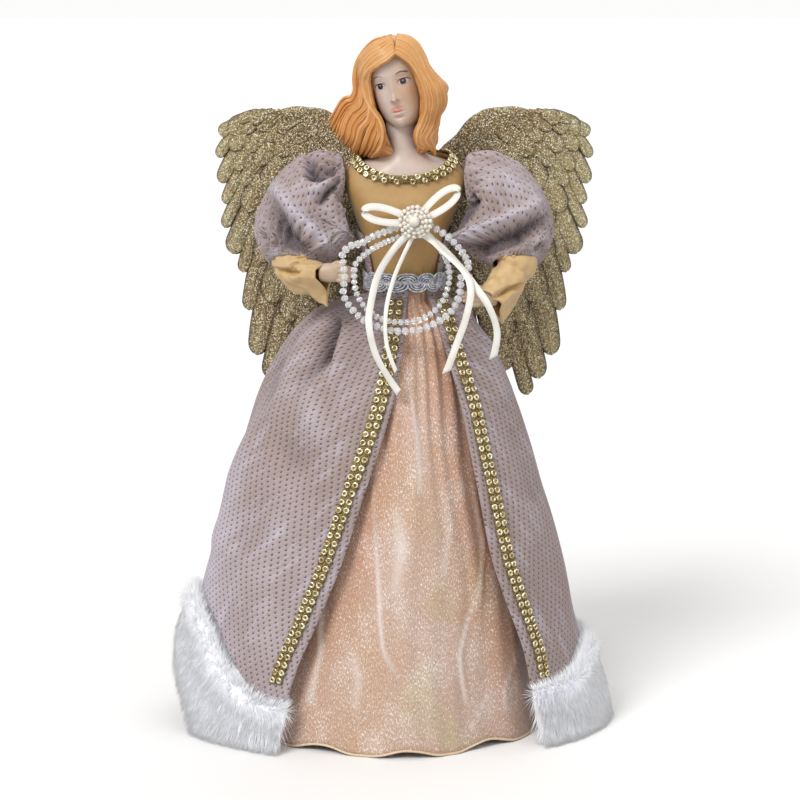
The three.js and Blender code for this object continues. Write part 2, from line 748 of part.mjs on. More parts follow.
function headGeometry(offset) {
  const sides = 24;
  const rings = headRowShares.map((level) => {
    const width = headHalfWidth * read(faceShares, level, 1) + offset;
    const front = headHalfDepth * read(faceShares, level, 2) + offset;
    const back = headHalfDepth * read(faceShares, level, 3) + offset;
    return Array.from({ length: sides }, (_, j) => {
      const angle = (j / sides) * TAU;
      const x = width * Math.cos(angle);
      let y = (Math.sin(angle) < 0 ? front : back) * Math.sin(angle);
      if (Math.sin(angle) < 0) {
        for (const [across, up, sizeAcross, sizeUp, depth] of featureShares) {
          const share = bell(x / headHalfWidth - across, sizeAcross) * bell(level - up, sizeUp);
          y -= headHalfDepth * depth * share;
        }
      }
      return point(x, y, headHalfHeight * level + offset * Math.sign(level) * Math.abs(level) ** 6);
    });
  });
  return loftGeometry(rings).applyMatrix4(headPose);
}

const neckShares = [
  // share of the way from plate to neck, rise above the neckline, shift across
  [0.28, 0.02, 0],
  [0.62, 0.06, 0],
  [0.9, 0.1, 0],
  [1, 0.17, -0.1],
  [1.02, 1, -0.3],
];

// The shoulder plate fills the top of the bodice and narrows to the neck above the neckline.
function neckAndPlateGeometry(offset) {
  const angles = Array.from({ length: bodiceSides }, (_, j) => bodiceAngle(j));
  const seat = angles.map((a) => bodicePoint(a, coreTopShare, coreOffset + offset));
  seat.forEach((p) => p.setZ(p.z + clearance - offset));
  const above = bodiceRowShares.filter((up) => up > coreTopShare && up < 1);
  const plate = above.map((up) => angles.map((a) => bodicePoint(a, up, coreOffset + offset)));
  const neckTop = torsoHeight + headHalfHeight * 1.25;
  const neck = neckShares.map(([share, rise, shift]) =>
    plate[1].map((p, j) => {
      const neckDepth = neckHalfWidth * 0.95;
      const round = point(neckHalfWidth * Math.cos(angles[j]), neckDepth * Math.sin(angles[j]), 0);
      const width = lerp(1, neckHalfWidth / Math.hypot(p.x, p.y), share);
      const swell = clamp(share, 0, 1) ** 1.5;
      return point(
        lerp(p.x * width, round.x, swell) + shift * neckHalfWidth,
        lerp(p.y * width, round.y, swell),
        lerp(lerp(p.z, torsoHeight, share), neckTop, rise),
      );
    }),
  );
  return loftGeometry([seat, ...plate, ...neck]);
}

// Room for the neckline's trim under the hair.
function collarGeometry() {
  const offset = 3 * clearance + trimBacking + stoneHeight;
  const rings = bodiceRowShares
    .filter((up) => up >= coreTopShare)
    .map((up) =>
      Array.from({ length: bodiceSides }, (_, j) => {
        const p = bodicePoint(bodiceAngle(j), up, offset);
        return p.setZ(p.z + offset * up);
      }),
    );
  return loftGeometry(rings);
}

const bust = solidOf(headGeometry(0)).add(solidOf(neckAndPlateGeometry(0)));
place(upperBody, "head_and_bust", geometryOf(bust), finishes.skin);

// Moulded hair: a wavy mass round the head, with the face and neck cut out of it.
const hairShares = [
  // height in head half heights, half width to +X, to -X, front depth, back depth
  [-1.86, 0.6, 1.0, 0.3, 0.6],
  [-1.72, 1.2, 1.75, 0.6, 1.05],
  [-1.38, 1.25, 2.35, 0.86, 1.25],
  [-1.05, 1.35, 2.7, 0.88, 1.3],
  [-0.7, 1.75, 2.35, 0.84, 1.27],
  [-0.35, 1.95, 1.7, 0.84, 1.22],
  [0.05, 1.6, 1.4, 0.94, 1.2],
  [0.45, 1.32, 1.34, 1.05, 1.17],
  [0.8, 1.06, 1.12, 0.94, 1],
  [1.05, 0.66, 0.7, 0.62, 0.68],
  [1.18, 0.05, 0.05, 0.05, 0.05],
];
const faceWindowShares = [
  // height, right, left, over the head's half height and half width
  [-2.2, 0.5, -0.42],
  [-1.5, 0.62, -0.5],
  [-1.0, 0.86, -0.62],
  [-0.5, 1.0, -0.9],
  [0, 0.98, -0.98],
  [0.35, 0.8, -0.86],
  [0.6, 0.42, -0.5],
  [0.72, 0.12, -0.1],
];

function hairGeometry() {
  const sides = 27;
  const locks = 9;
  const rings = hairShares.map(([level, right, left, front, back]) =>
    Array.from({ length: sides }, (_, j) => {
      const angle = (j / sides) * TAU;
      const wave = Math.cos(locks * angle + 2.2 * Math.sin(2.4 * level));
      const relief = 1 + 0.045 * wave * clamp(1.3 - level, 0, 1);
      const width = headHalfWidth * (Math.cos(angle) > 0 ? right : left) * relief;
      const depth = headHalfDepth * (Math.sin(angle) < 0 ? front : back) * relief;
      return point(width * Math.cos(angle), depth * Math.sin(angle), headHalfHeight * level);
    }),
  );
  const mass = solidOf(loftGeometry(rings).applyMatrix4(headPose));
  const frontY = -2.2 * headHalfDepth;
  const backY = -0.12 * headHalfDepth;
  const windowRings = faceWindowShares.map(([level, right, left]) => {
    const z = headHalfHeight * level;
    return [
      point(headHalfWidth * right * 0.8, frontY, z),
      point(headHalfWidth * right, backY * 3, z),
      point(headHalfWidth * right * 0.8, backY, z),
      point(headHalfWidth * left * 0.8, backY, z),
      point(headHalfWidth * left, backY * 3, z),
      point(headHalfWidth * left * 0.8, frontY, z),
    ];
  });
  const window = solidOf(loftGeometry(windowRings).applyMatrix4(headPose));
  const around = [headGeometry(clearance), neckAndPlateGeometry(clearance), collarGeometry()];
  return geometryOf(around.reduce((hair, piece) => hair.subtract(solidOf(piece)), mass.subtract(window)));
}
place(upperBody, "moulded_hair", hairGeometry(), finishes.hair);

// Arms, which swing together on the wire through the torso.
const arms = new THREE.Group();
upperBody.add(arms);
const elbowOf = (side) => point(side * elbowReach, -elbowForward, armAxisHeight - elbowDrop);
const wristOf = (side) =>
  side > 0
    ? point(rightWristReach, -wristForward, armAxisHeight - rightWristDrop)
    : point(-leftWristReach, -wristForward, armAxisHeight - leftWristDrop);
const fingerDirection = (side) => {
  const turn = degToRad(handTurn);
  return point(-side * Math.cos(turn), -Math.sin(turn), 0);
};

const upperArmShares = [
  // out over the sleeve's bulge, forwards and down over the elbow's place
  [0.4, 0.1, 0.16],
  [0.93, 0.7, 0.55],
];

// The armature wire, or with a larger radius and reach the hole that it leaves.
function wireGeometry(radius, reach, sides) {
  const half = (side) => [
    point(side * shoulderHalfWidth * 0.4, 0, armAxisHeight),
    point(side * shoulderHalfWidth * 0.8, 0, armAxisHeight),
    point(side * shoulderHalfWidth, 0, armAxisHeight),
    ...upperArmShares.map(([across, forward, drop]) =>
      point(
        side * (shoulderHalfWidth + sleeveBulge * across),
        -elbowForward * forward,
        armAxisHeight - elbowDrop * drop,
      ),
    ),
    elbowOf(side),
    wristOf(side).lerp(elbowOf(side), 0.5),
    wristOf(side),
    wristOf(side).addScaledVector(fingerDirection(side), reach),
  ];
  const route = [...half(-1).reverse(), point(0, 0, armAxisHeight), ...half(1)];
  const path = new THREE.CatmullRomCurve3(route, false, "centripetal");
  const section = new THREE.Shape(circle(radius, sides).map(([x, y]) => new THREE.Vector2(x, y)));
  return new THREE.ExtrudeGeometry(section, { steps: 40, bevelEnabled: false, extrudePath: path });
}
const wireReach = handLength * 0.3; // how far the wire goes into the hand
place(arms, "arm_wire", wireGeometry(wireRadius, wireReach, 6), finishes.wire);

const puffShares = [
  // along the sleeve, how full it is
  [0, 0],
  [0.06, 0.45],
  [0.2, 0.92],
  [0.42, 1],
  [0.66, 0.92],
  [0.86, 0.6],
  [1, 0],
];

// Puffed sleeve: rings along an arc from the armhole to the elbow, held clear of the torso.
function sleeveGeometry(side, rows, columns) {
  const armholeTop = (armAxisHeight + armholeRadius - sleeveThickness) / necklineRise(0);
  const rimX = shoulderHalfWidth * read(torsoShares, armholeTop, 1) + 2 * clearance;
  const low = elbowOf(side).z - armAxisHeight + cuffRadius * 0.9;
  const spine = new THREE.CatmullRomCurve3([
    point(rimX, 0, 0),
    point(rimX + sleeveBulge * 0.36, -elbowForward * 0.05, sleeveBulge * 0.02),
    point(elbowReach * 0.93, -elbowForward * 0.35, low * 0.42),
    point(elbowReach * 0.99, -elbowForward * 0.75, low * 0.8),
    point(elbowReach, -elbowForward, low),
  ]);
  const face = (inset) => (i, j) => {
    const along = i / rows;
    const angle = (j / columns) * TAU;
    const centre = spine.getPoint(along);
    const tangent = spine.getTangent(along);
    const across = point(0, 1, 0);
    across.addScaledVector(tangent, -across.dot(tangent)).normalize();
    const lift = tangent.clone().cross(across);
    const ends = lerp(armholeRadius, cuffRadius + cuffThickness + clearance + sleeveThickness, along);
    const folds = 0.6 * Math.cos(4 * angle + 3 * along) + 0.4 * Math.cos(2 * angle - 5 * along);
    const puff = read(puffShares, along);
    const gather = sleeveFoldDepth * puff * (0.5 - 0.5 * folds);
    const radius = lerp(ends, sleeveBulge, puff) - gather - inset;
    const p = centre.addScaledVector(across, radius * Math.cos(angle));
    p.addScaledVector(lift, radius * Math.sin(angle));
    const below = clamp(-p.z / armholeRadius - 1, 0, 1);
    const clearOfBody = lerp(rimX, shoulderHalfWidth * 0.84, below);
    p.x = Math.max(p.x, clearOfBody + (i === 0 ? 0 : inset));
    return point(side * p.x, p.y, p.z + armAxisHeight);
  };
  return sheetGeometry(rows, columns, true, face(0), face(sleeveThickness));
}
place(arms, "sleeve_right", sleeveGeometry(1, 7, 16), finishes.mauveKnit);
place(arms, "sleeve_left", sleeveGeometry(-1, 7, 16), finishes.mauveKnit);

// Satin undersleeve: out of the puff, round the elbow, and open at the wrist like a bell.
function cuffGeometry(side, rows, columns) {
  const elbow = elbowOf(side);
  const wrist = wristOf(side);
  const mouthHeight = wrist.z - cuffRadius * 0.15;
  const spine = new THREE.CatmullRomCurve3([
    point(elbow.x, elbow.y, elbow.z + cuffRadius * 1.15),
    point(elbow.x + side * cuffRadius * 0.1, elbow.y - cuffRadius * 0.1, elbow.z + cuffRadius * 0.4),
    point(elbow.x - side * cuffRadius * 0.25, elbow.y - cuffRadius * 0.4, elbow.z - cuffRadius * 0.3),
    wrist.clone().lerp(elbow, 0.45).add(point(0, 0, -cuffRadius * 0.3)),
    wrist.clone().addScaledVector(fingerDirection(side), handLength * 0.05).setZ(mouthHeight),
  ]);
  const face = (inset) => (i, j) => {
    const along = i / rows;
    const angle = (j / columns) * TAU;
    const tangent = spine.getTangent(along);
    const across = point(-side * 0.2, 1, 0.25);
    across.addScaledVector(tangent, -across.dot(tangent)).normalize();
    const lift = tangent.clone().cross(across);
    const flare = 1 + 0.12 * bell(along - 1, 0.3) - 0.1 * bell(along - 0.45, 0.2);
    const radius = cuffRadius * flare - inset;
    return spine
      .getPoint(along)
      .addScaledVector(across, radius * 0.86 * Math.cos(angle))
      .addScaledVector(lift, radius * Math.sin(angle));
  };
  return sheetGeometry(rows, columns, true, face(0), face(cuffThickness));
}
place(arms, "cuff_right", cuffGeometry(1, 6, 13), finishes.goldSatin);
place(arms, "cuff_left", cuffGeometry(-1, 6, 13), finishes.goldSatin);

const handShares = [
  // along the hand, half height, half thickness
  [-0.1, 0.6, 0.6],
  [0.06, 0.74, 0.74],
  [0.16, 0.95, 0.92],
  [0.35, 1, 1],
  [0.62, 0.95, 0.98],
  [0.85, 0.86, 0.86],
  [0.96, 0.7, 0.66],
  [1, 0.45, 0.4],
];

// Cast hand: a closed mitten whose front shows four fingers, with a hole for the wire.
function handGeometry(side) {
  const sides = 12;
  const rings = handShares.map(([along, tall, thick]) => {
    const fingers = clamp((along - 0.2) * 3, 0, 1);
    return Array.from({ length: sides }, (_, k) => {
      const angle = (k / sides) * TAU;
      const front = Math.max(0, -Math.sin(angle));
      const across = 0.5 + 0.5 * Math.cos(angle);
      const groove = 1 - 0.14 * fingers * front * (0.5 - 0.5 * Math.cos(4 * TAU * across));
      return point(
        -side * handLength * along,
        (handThickness / 2) * thick * Math.sin(angle) * groove,
        (handHeight / 2) * tall * Math.cos(angle),
      );
    });
  });
  const thumb = new THREE.CapsuleGeometry(handHeight * 0.15, handLength * 0.4, 2, 7)
    .rotateZ(Math.PI / 2)
    .rotateY(side * degToRad(14))
    .translate(-side * handLength * 0.45, handThickness * 0.1, handHeight * 0.46);
  const turn = new THREE.Matrix4().makeRotationZ(side * degToRad(handTurn)).setPosition(wristOf(side));
  const casting = [loftGeometry(rings), thumb].map((g) => g.applyMatrix4(turn));
  const hole = wireGeometry(wireHoleRadius, wireReach + 2 * clearance, 6);
  return geometryOf(joined(casting).subtract(solidOf(hole)));
}
place(arms, "hand_right", handGeometry(1), finishes.skin);
place(arms, "hand_left", handGeometry(-1), finishes.skin);

// Bead rings, held in the hands and caught up at the brooch.
const chestFront = chestHalfDepth + coatThickness + 2 * clearance;
const handFront = wristForward + handLength * Math.sin(degToRad(handTurn)) + handThickness / 2 + clearance;

const outerRingShares = [
  // across over the ring's half width, down over its drop, forwards from the chest to the hands
  [0.3, 0.02, 0],
  [-0.04, 0.05, 0],
  [-0.29, 0.09, 0.2],
  [-0.51, 0.13, 0.5],
  [-0.68, 0.18, 0.8],
  [-0.86, 0.2, 1],
  [-0.97, 0.28, 0.92],
  [-0.96, 0.37, 0.92],
  [-0.94, 0.5, 0.92],
  [-0.96, 0.64, 0.96],
  [-0.88, 0.75, 1],
  [-0.73, 0.85, 1],
  [-0.58, 0.92, 1],
  [-0.4, 0.96, 1],
  [-0.18, 1, 1],
  [0.06, 1, 1],
  [0.32, 0.97, 1],
  [0.52, 0.91, 1],
  [0.7, 0.83, 1],
  [0.81, 0.73, 1.02],
  [0.87, 0.62, 1.04],
  [0.88, 0.5, 0.98],
  [1, 0.41, 0.72],
  [0.95, 0.32, 0.42],
  [0.83, 0.23, 0.2],
  [0.65, 0.13, 0.1],
];
const innerRingShares = [
  [0.26, 0.11, 0],
  [-0.02, 0.14, 0],
  [-0.25, 0.18, 0.25],
  [-0.45, 0.22, 0.66],
  [-0.62, 0.28, 0.9],
  [-0.76, 0.36, 1.06],
  [-0.79, 0.47, 1.06],
  [-0.77, 0.6, 1],
  [-0.68, 0.73, 0.98],
  [-0.52, 0.83, 0.98],
  [-0.3, 0.9, 0.98],
  [-0.04, 0.92, 0.98],
  [0.22, 0.9, 0.98],
  [0.45, 0.82, 0.98],
  [0.6, 0.71, 0.98],
  [0.68, 0.58, 0.9],
  [0.7, 0.45, 0.66],
  [0.62, 0.31, 0.34],
  [0.46, 0.19, 0.1],
];

// Beads and thread as one strand: the section swells at each bead and narrows between them.
function beadRingGeometry(shares, radius, pitch, sides) {
  const route = shares.map(([across, down, forwards]) =>
    point(
      across * garlandHalfWidth,
      -lerp(chestFront, handFront, forwards) - radius,
      broochRise - down * garlandDrop,
    ),
  );
  const curve = new THREE.CatmullRomCurve3(route, true, "centripetal");
  const beads = Math.round(curve.getLength() / pitch);
  const path = Array.from({ length: beads * 2 }, (_, k) => curve.getPointAt(k / (beads * 2)));
  const side = () => point(0, 1, 0);
  const section = (i) => circle(i % 2 === 0 ? radius : threadRadius, sides);
  return loftGeometry(sweptRings(path, side, section, true), true);
}
const outerRing = beadRingGeometry(outerRingShares, beadRadius, beadPitch, 5);
place(arms, "bead_ring_outer", outerRing, finishes.crystal);
const innerRing = beadRingGeometry(innerRingShares, smallBeadRadius, smallBeadPitch, 4);
place(arms, "bead_ring_inner", innerRing, finishes.crystal);

// Satin bow: two loops and a knot, with tails that hang from behind the knot.
const strap = (width) => () => {
  const w = width / 2;
  const t = ribbonThickness / 2;
  return [[-w, -t], [w, -t], [w, t], [-w, t]];
};
const bowBack = chestFront + beadRadius * 2 + clearance * 2;

// An open loop in the plane that faces the front, with the ribbon's width leaning backwards.
function bowLoop(direction, rise) {
  const along = point(Math.cos(rise) * direction, 0, Math.sin(rise));
  const up = point(-Math.sin(rise) * direction, 0, Math.cos(rise));
  const steps = 12;
  const path = Array.from({ length: steps }, (_, k) => {
    const turn = (k / steps) * TAU;
    const out = 0.5 - 0.5 * Math.cos(turn);
    const open = Math.sin(turn) * Math.sqrt(out) * (bowLoopWidth / 2);
    return along.clone().multiplyScalar(out * bowLoopLength).addScaledVector(up, open);
  });
  return loftGeometry(sweptRings(path, () => point(0, 1, 0.35), strap(ribbonWidth), true), true);
}

function bowGeometry() {
  const knot = new THREE.SphereGeometry(knotRadius, 10, 6).scale(1, knotDepth / knotRadius / 2, 0.8);
  const loops = [
    bowLoop(-1, degToRad(12)),
    bowLoop(1, degToRad(38)),
  ];
  const bow = geometryOf(joined([knot, ...loops]));
  return bow.translate(broochAcross, -bowBack - knotDepth / 2, broochRise);
}
place(arms, "ribbon_bow", bowGeometry(), finishes.ribbon);

const tailRoutes = [
  {
    name: "left",
    layer: 0,
    // across and down over the bow's loop length, forwards over the garland's
    shares: [
      [-0.06, 0.17, 0],
      [-0.4, 0.5, 0.12],
      [-0.7, 0.95, 0.45],
      [-0.84, 1.45, 0.8],
      [-0.88, 1.85, 1.15],
      [-0.76, 2.4, 1.15],
      [-0.52, 2.85, 1.1],
      [-0.28, 3.2, 1.1],
    ],
  },
  {
    name: "inner",
    layer: 1,
    shares: [
      [0, 0.17, 0],
      [-0.22, 0.6, 0.2],
      [-0.42, 1.05, 0.55],
      [-0.56, 1.6, 0.95],
      [-0.55, 2.2, 1.2],
      [-0.36, 2.75, 1.35],
    ],
  },
  {
    name: "outer",
    layer: 0,
    shares: [
      [0.1, 0.15, 0],
      [0.3, 0.32, 0],
      [0.52, 0.48, 0.26],
      [0.87, 0.83, 0.8],
      [1.12, 1.15, 1.12],
      [1.36, 1.5, 1.25],
      [1.52, 2.0, 1.2],
      [1.44, 2.55, 1.1],
    ],
  },
  {
    name: "right",
    layer: 3,
    shares: [
      [0.06, 0.17, 0],
      [0.3, 0.35, 0.02],
      [0.5, 0.52, 0.34],
      [0.9, 0.87, 0.85],
      [1.02, 1.2, 1.15],
      [0.93, 1.7, 1.25],
      [0.76, 2.2, 1.2],
      [0.55, 2.8, 1.15],
    ],
  },
];

// How far forwards the trims on the coat reach at a height above the waist.
function trimFront(rise) {
  const skirtFront = skirtFrontDepth * read(skirtShares, 1 + rise / waistHeight, 2);
  return skirtFront + coatGap + trimBacking + stoneHeight + 3 * clearance;
}

function tailGeometry(shares, width, layer) {
  const reach = handFront - chestFront;
  const route = shares.map(([across, down, forwards]) => {
    const rise = broochRise - down * bowLoopLength;
    const front = Math.max(bowBack + forwards * reach, trimFront(rise));
    return point(broochAcross + across * bowLoopLength, -front - layer, rise);
  });
  const steps = Math.round(2.5 * (shares.length - 1));
  const path = new THREE.CatmullRomCurve3(route).getSpacedPoints(steps);
  const side = (i) => point(1, 0.35 * Math.sin((i / steps) * TAU), 0);
  return loftGeometry(sweptRings(path, side, strap(width)));
}
for (const { name, layer, shares } of tailRoutes) {
  const width = name === "inner" ? ribbonWidth * 0.6 : ribbonWidth;
  const tail = tailGeometry(shares, width, layer * (ribbonThickness + clearance));
  place(arms, `ribbon_tail_${name}`, tail, finishes.ribbon);
}

// Brooch: a domed plate set with rings of small pearls round a large one.
const broochFront = bowBack + knotDepth + clearance;
const broochPose = new THREE.Matrix4()
  .makeRotationX(Math.PI / 2)
  .setPosition(broochAcross, -broochFront, broochRise);

const pearlRingShares = [
  // ring's radius over the brooch's, pearls in it, rise over a pearl's radius
  [0.88, 10, 0],
  [0.52, 6, 0.55],
];

function broochGeometry() {
  const plate = new THREE.CylinderGeometry(broochRadius * 0.86, broochRadius, broochThickness, 16)
    .rotateX(Math.PI / 2)
    .translate(0, 0, broochThickness / 2);
  const pearls = [];
  for (const [ringShare, count, riseShare] of pearlRingShares) {
    const ring = ringShare * broochRadius;
    for (let k = 0; k < count; k += 1) {
      const angle = (k / count) * TAU;
      const size = pearlRadius * (k % 3 === 0 ? 1.2 : 1);
      const rise = broochThickness + pearlRadius * riseShare;
      const pearl = new THREE.IcosahedronGeometry(size, 0);
      pearls.push(pearl.translate(ring * Math.cos(angle), ring * Math.sin(angle), rise));
    }
  }
  return geometryOf(joined([plate, ...pearls]));
}
place(arms, "pearl_brooch", broochGeometry().applyMatrix4(broochPose), finishes.pearl);
const centrePearl = new THREE.SphereGeometry(centrePearlRadius, 10, 7)
  .translate(-broochRadius * 0.1, broochRadius * 0.1, broochThickness + centrePearlRadius + clearance)
  .applyMatrix4(broochPose);
place(arms, "centre_pearl", centrePearl, finishes.pearl);

// Wings: feathers in three overlapping layers behind a rounded leading edge.
const bridgeFront = chestHalfDepth + coatThickness + 4 * clearance;
const bridge = new THREE.BoxGeometry(bridgeWidth, bridgeThickness, bridgeHeight)
  .translate(0, bridgeFront + bridgeThickness / 2, armAxisHeight - bridgeHeight * 0.35);
place(upperBody, "wing_bridge", bridge, finishes.card);
const wingPlane = bridgeFront + bridgeThickness + 3 * clearance + featherThickness / 2 + featherLayer * 2;

// A point of the wing: out over the span, down over the height, and in front of the wing's plane.
function wingPoint(out, down, front) {
  const x = out * wingSpan;
  const y = wingPlane + x * Math.tan(degToRad(wingSweep)) - front;
  return point(x, y, wingTop - down * wingHeight);
}

// Roots lie along the wing's arm; tips follow its outline from the top round to the bottom.
const armShares = [
  [0, 0.12, 0.32],
  [0.3, 0.26, 0.17],
  [0.55, 0.42, 0.065],
  [0.8, 0.6, 0.035],
  [1, 0.74, 0.03],
];
const tipShares = [
  [0, 0.579, 0.922],
  [0.1, 0.698, 0.994],
  [0.2, 0.756, 0.9],
  [0.3, 0.83, 0.812],
  [0.42, 0.85, 0.7],
  [0.54, 0.904, 0.541],
  [0.66, 0.97, 0.447],
  [0.76, 0.965, 0.355],
  [0.84, 0.985, 0.28],
  [0.92, 1.0, 0.187],
  [1, 0.99, 0.104],
];
// One layer of feathers as a fluted fan: each feather has a valley and one or two crest
// columns, and the valleys stop short of the tips, which leaves the tips apart.
const wideFeatherShares = [
  // place across the feather, height of the face, reach along the feather
  [0, 0.25, 0.8],
  [0.27, 1, 0.985],
  [0.73, 1, 1],
];
const narrowFeatherShares = [
  [0, 0.25, 0.86],
  [0.5, 1, 1],
];

// rowShares lists [share of the reach, thickness over the feather's] from the root to the tips.
function fanGeometry({ feathers, columnShares, rowShares, reachShare, layer }) {
  const perFeather = columnShares.length;
  const last = rowShares.length - 1;
  const face = (front) => (i, j) => {
    const feather = Math.floor(j / perFeather);
    const [across, height, reach] = columnShares[j % perFeather];
    const fan = Math.min(1, (feather + across) / feathers);
    const t = rowShares[i][0] * reachShare * (i === last ? reach : 1);
    const out = lerp(read(armShares, fan, 1), read(tipShares, fan, 1), t);
    const down = lerp(read(armShares, fan, 2), read(tipShares, fan, 2), t);
    const bend = 0.03 * (1 - fan) * Math.sin(clamp(t, 0, 1) * Math.PI);
    const crest = i < 2 ? 0 : 0.5 * (height - 1);
    const lift = featherThickness * (front * rowShares[i][1] * 0.5 + crest);
    return wingPoint(out + bend, down, layer * featherLayer + lift);
  };
  return sheetGeometry(last, feathers * perFeather, false, face(1), face(-1));
}

const wingLayers = [
  {
    feathers: 11,
    columnShares: wideFeatherShares,
    rowShares: [[-0.07, 0.5], [-0.035, 2.2], [0.04, 2], [0.12, 0.8], [1, 0.4]],
    reachShare: 1,
    layer: 0,
  },
  {
    feathers: 7,
    columnShares: narrowFeatherShares,
    rowShares: [[0, 0.4], [0.2, 0.7], [1, 0.45]],
    reachShare: 0.62,
    layer: 1,
  },
  {
    feathers: 5,
    columnShares: narrowFeatherShares,
    rowShares: [[0, 0.4], [0.3, 0.7], [1, 0.45]],
    reachShare: 0.34,
    layer: 1.8,
  },
];

function wingGeometry() {
  const pieces = wingLayers.map(fanGeometry);
  const tabWidth = bridgeWidth / 2 - clearance;
  const tab = new THREE.BoxGeometry(tabWidth, featherThickness + featherLayer, bridgeHeight * 0.8).translate(
    tabWidth / 2 + 2 * clearance,
    bridgeFront + bridgeThickness + clearance + (featherThickness + featherLayer) / 2,
    armAxisHeight - bridgeHeight * 0.35,
  );
  pieces.push(tab);
  return geometryOf(joined(pieces));
}
const wing = wingGeometry();
place(upperBody, "wing_right", wing, finishes.glitterGold);
place(upperBody, "wing_left", mirrored(wing), finishes.glitterGold);

export default angel;
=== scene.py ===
# %% [markdown]
# # A dressed angel, piece by piece
#
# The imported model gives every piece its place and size, in metres. This script dresses it: cloth
# with folds and pinholes, organza with a sparkle, long fur, gold cups, moulded hair and feathers.
# The cells run from the floor upwards, and every piece is hung on the body that carries it.

import math
from math import cos, sin, pi, tau
import random

import bmesh
import bpy
from mathutils import Matrix, Vector, noise
import numpy


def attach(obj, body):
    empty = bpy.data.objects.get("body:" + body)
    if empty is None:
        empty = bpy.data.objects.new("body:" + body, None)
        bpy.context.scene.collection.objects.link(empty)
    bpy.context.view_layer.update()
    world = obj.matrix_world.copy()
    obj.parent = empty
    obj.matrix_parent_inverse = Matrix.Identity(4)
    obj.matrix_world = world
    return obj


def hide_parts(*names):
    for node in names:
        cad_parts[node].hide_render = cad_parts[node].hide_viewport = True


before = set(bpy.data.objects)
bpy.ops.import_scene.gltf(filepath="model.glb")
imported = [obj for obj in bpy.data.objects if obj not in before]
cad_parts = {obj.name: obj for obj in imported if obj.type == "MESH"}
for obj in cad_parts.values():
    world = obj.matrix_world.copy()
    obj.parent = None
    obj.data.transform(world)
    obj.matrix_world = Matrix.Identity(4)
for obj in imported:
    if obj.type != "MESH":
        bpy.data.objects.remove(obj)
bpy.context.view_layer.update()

# %% [markdown]
# ## Camera, light and floor
#
# The camera stands where the photograph was taken from: a little over a metre away and ten degrees
# above the horizontal, with a long lens. The light is one large soft key from the front left, two
# weaker lamps and a bright world, so a colour shows about as it is written. The world is white only
# for rays that come from the camera, a mirror or a clear bead.

# %% Camera, light and floor
MM = 0.001
target = Vector((3.87, 0, 192.15)) * MM
camera_distance = 1300 * MM
camera_elevation = 0.1816
field_width = 471.7 * MM  # what the picture spans at the target

camera = bpy.data.objects.new("camera", bpy.data.cameras.new("camera"))
camera.data.lens = camera.data.sensor_width * camera_distance / field_width
camera.location = target + camera_distance * Vector((0, -cos(camera_elevation), sin(camera_elevation)))
camera.rotation_euler = (pi / 2 - camera_elevation, 0, 0)
bpy.context.collection.objects.link(camera)
bpy.context.scene.camera = camera
bpy.context.scene.view_settings.view_transform = "Standard"

# %% Lamps
def soft_light(name, place, spread, power):
    """A far, broad lamp whose light comes from the direction of a place."""
    lamp = bpy.data.objects.new(name, bpy.data.lights.new(name, "SUN"))
    lamp.data.angle = math.radians(spread)
    lamp.data.energy = power
    lamp.location = place
    lamp.rotation_euler = (-Vector(place)).to_track_quat("-Z", "Y").to_euler()
    bpy.context.collection.objects.link(lamp)


soft_light("key", (-0.75, -1.0, 1.15), 24, 1.9)
soft_light("fill", (1.2, -1.1, 0.6), 70, 0.45)
soft_light("top", (0.3, 0.8, 1.6), 50, 0.5)

# %% Nodes and the world
def add_node(tree, kind, inputs=(), **settings):
    """A node with its settings, whose inputs are set to values or linked to other sockets."""
    made = tree.nodes.new("ShaderNode" + kind)
    for key, value in settings.items():
        setattr(made, key, value)
    for key, value in dict(inputs).items():
        if isinstance(value, bpy.types.NodeSocket):
            tree.links.new(value, made.inputs[key])
        else:
            made.inputs[key].default_value = value
    return made


def math_node(tree, operation, *values):
    """The result of one sum on values or sockets."""
    made = add_node(tree, "Math", enumerate(values), operation=operation)
    return made.outputs[0]


world = bpy.data.worlds.new("world")
bpy.context.scene.world = world
world.use_nodes = True
sky = world.node_tree
path = add_node(sky, "LightPath")
seen = math_node(sky, "MAXIMUM", path.outputs["Is Camera Ray"], path.outputs["Is Transmission Ray"])
seen = math_node(sky, "MAXIMUM", seen, path.outputs["Is Glossy Ray"])
world_strength = 0.5
strength = add_node(sky, "MapRange", {0: seen, 3: world_strength, 4: 0.985})
sky.links.new(strength.outputs[0], sky.nodes["Background"].inputs["Strength"])
sky.nodes["Background"].inputs["Color"].default_value = (1, 0.995, 0.985, 1)

# %% Colours, materials and the floor
def tone(red, green, blue):
    """A screen colour from 0 to 255 as the linear colour that a shader takes."""
    shares = [c / 255 for c in (red, green, blue)]
    return (*[s / 12.92 if s < 0.04045 else ((s + 0.055) / 1.055) ** 2.4 for s in shares], 1)


def new_material(name, color, roughness, **sockets):
    """A Principled material, with its plain values set on the shader's own sockets."""
    made = bpy.data.materials.new(name)
    made.use_nodes = True
    shader = made.node_tree.nodes["Principled BSDF"]
    values = {"Base Color": color, "Roughness": roughness}
    values.update({key.replace("_", " ").title(): value for key, value in sockets.items()})
    for key, value in values.items():
        shader.inputs[key.replace("Ior", "IOR")].default_value = value
    return made, made.node_tree, shader


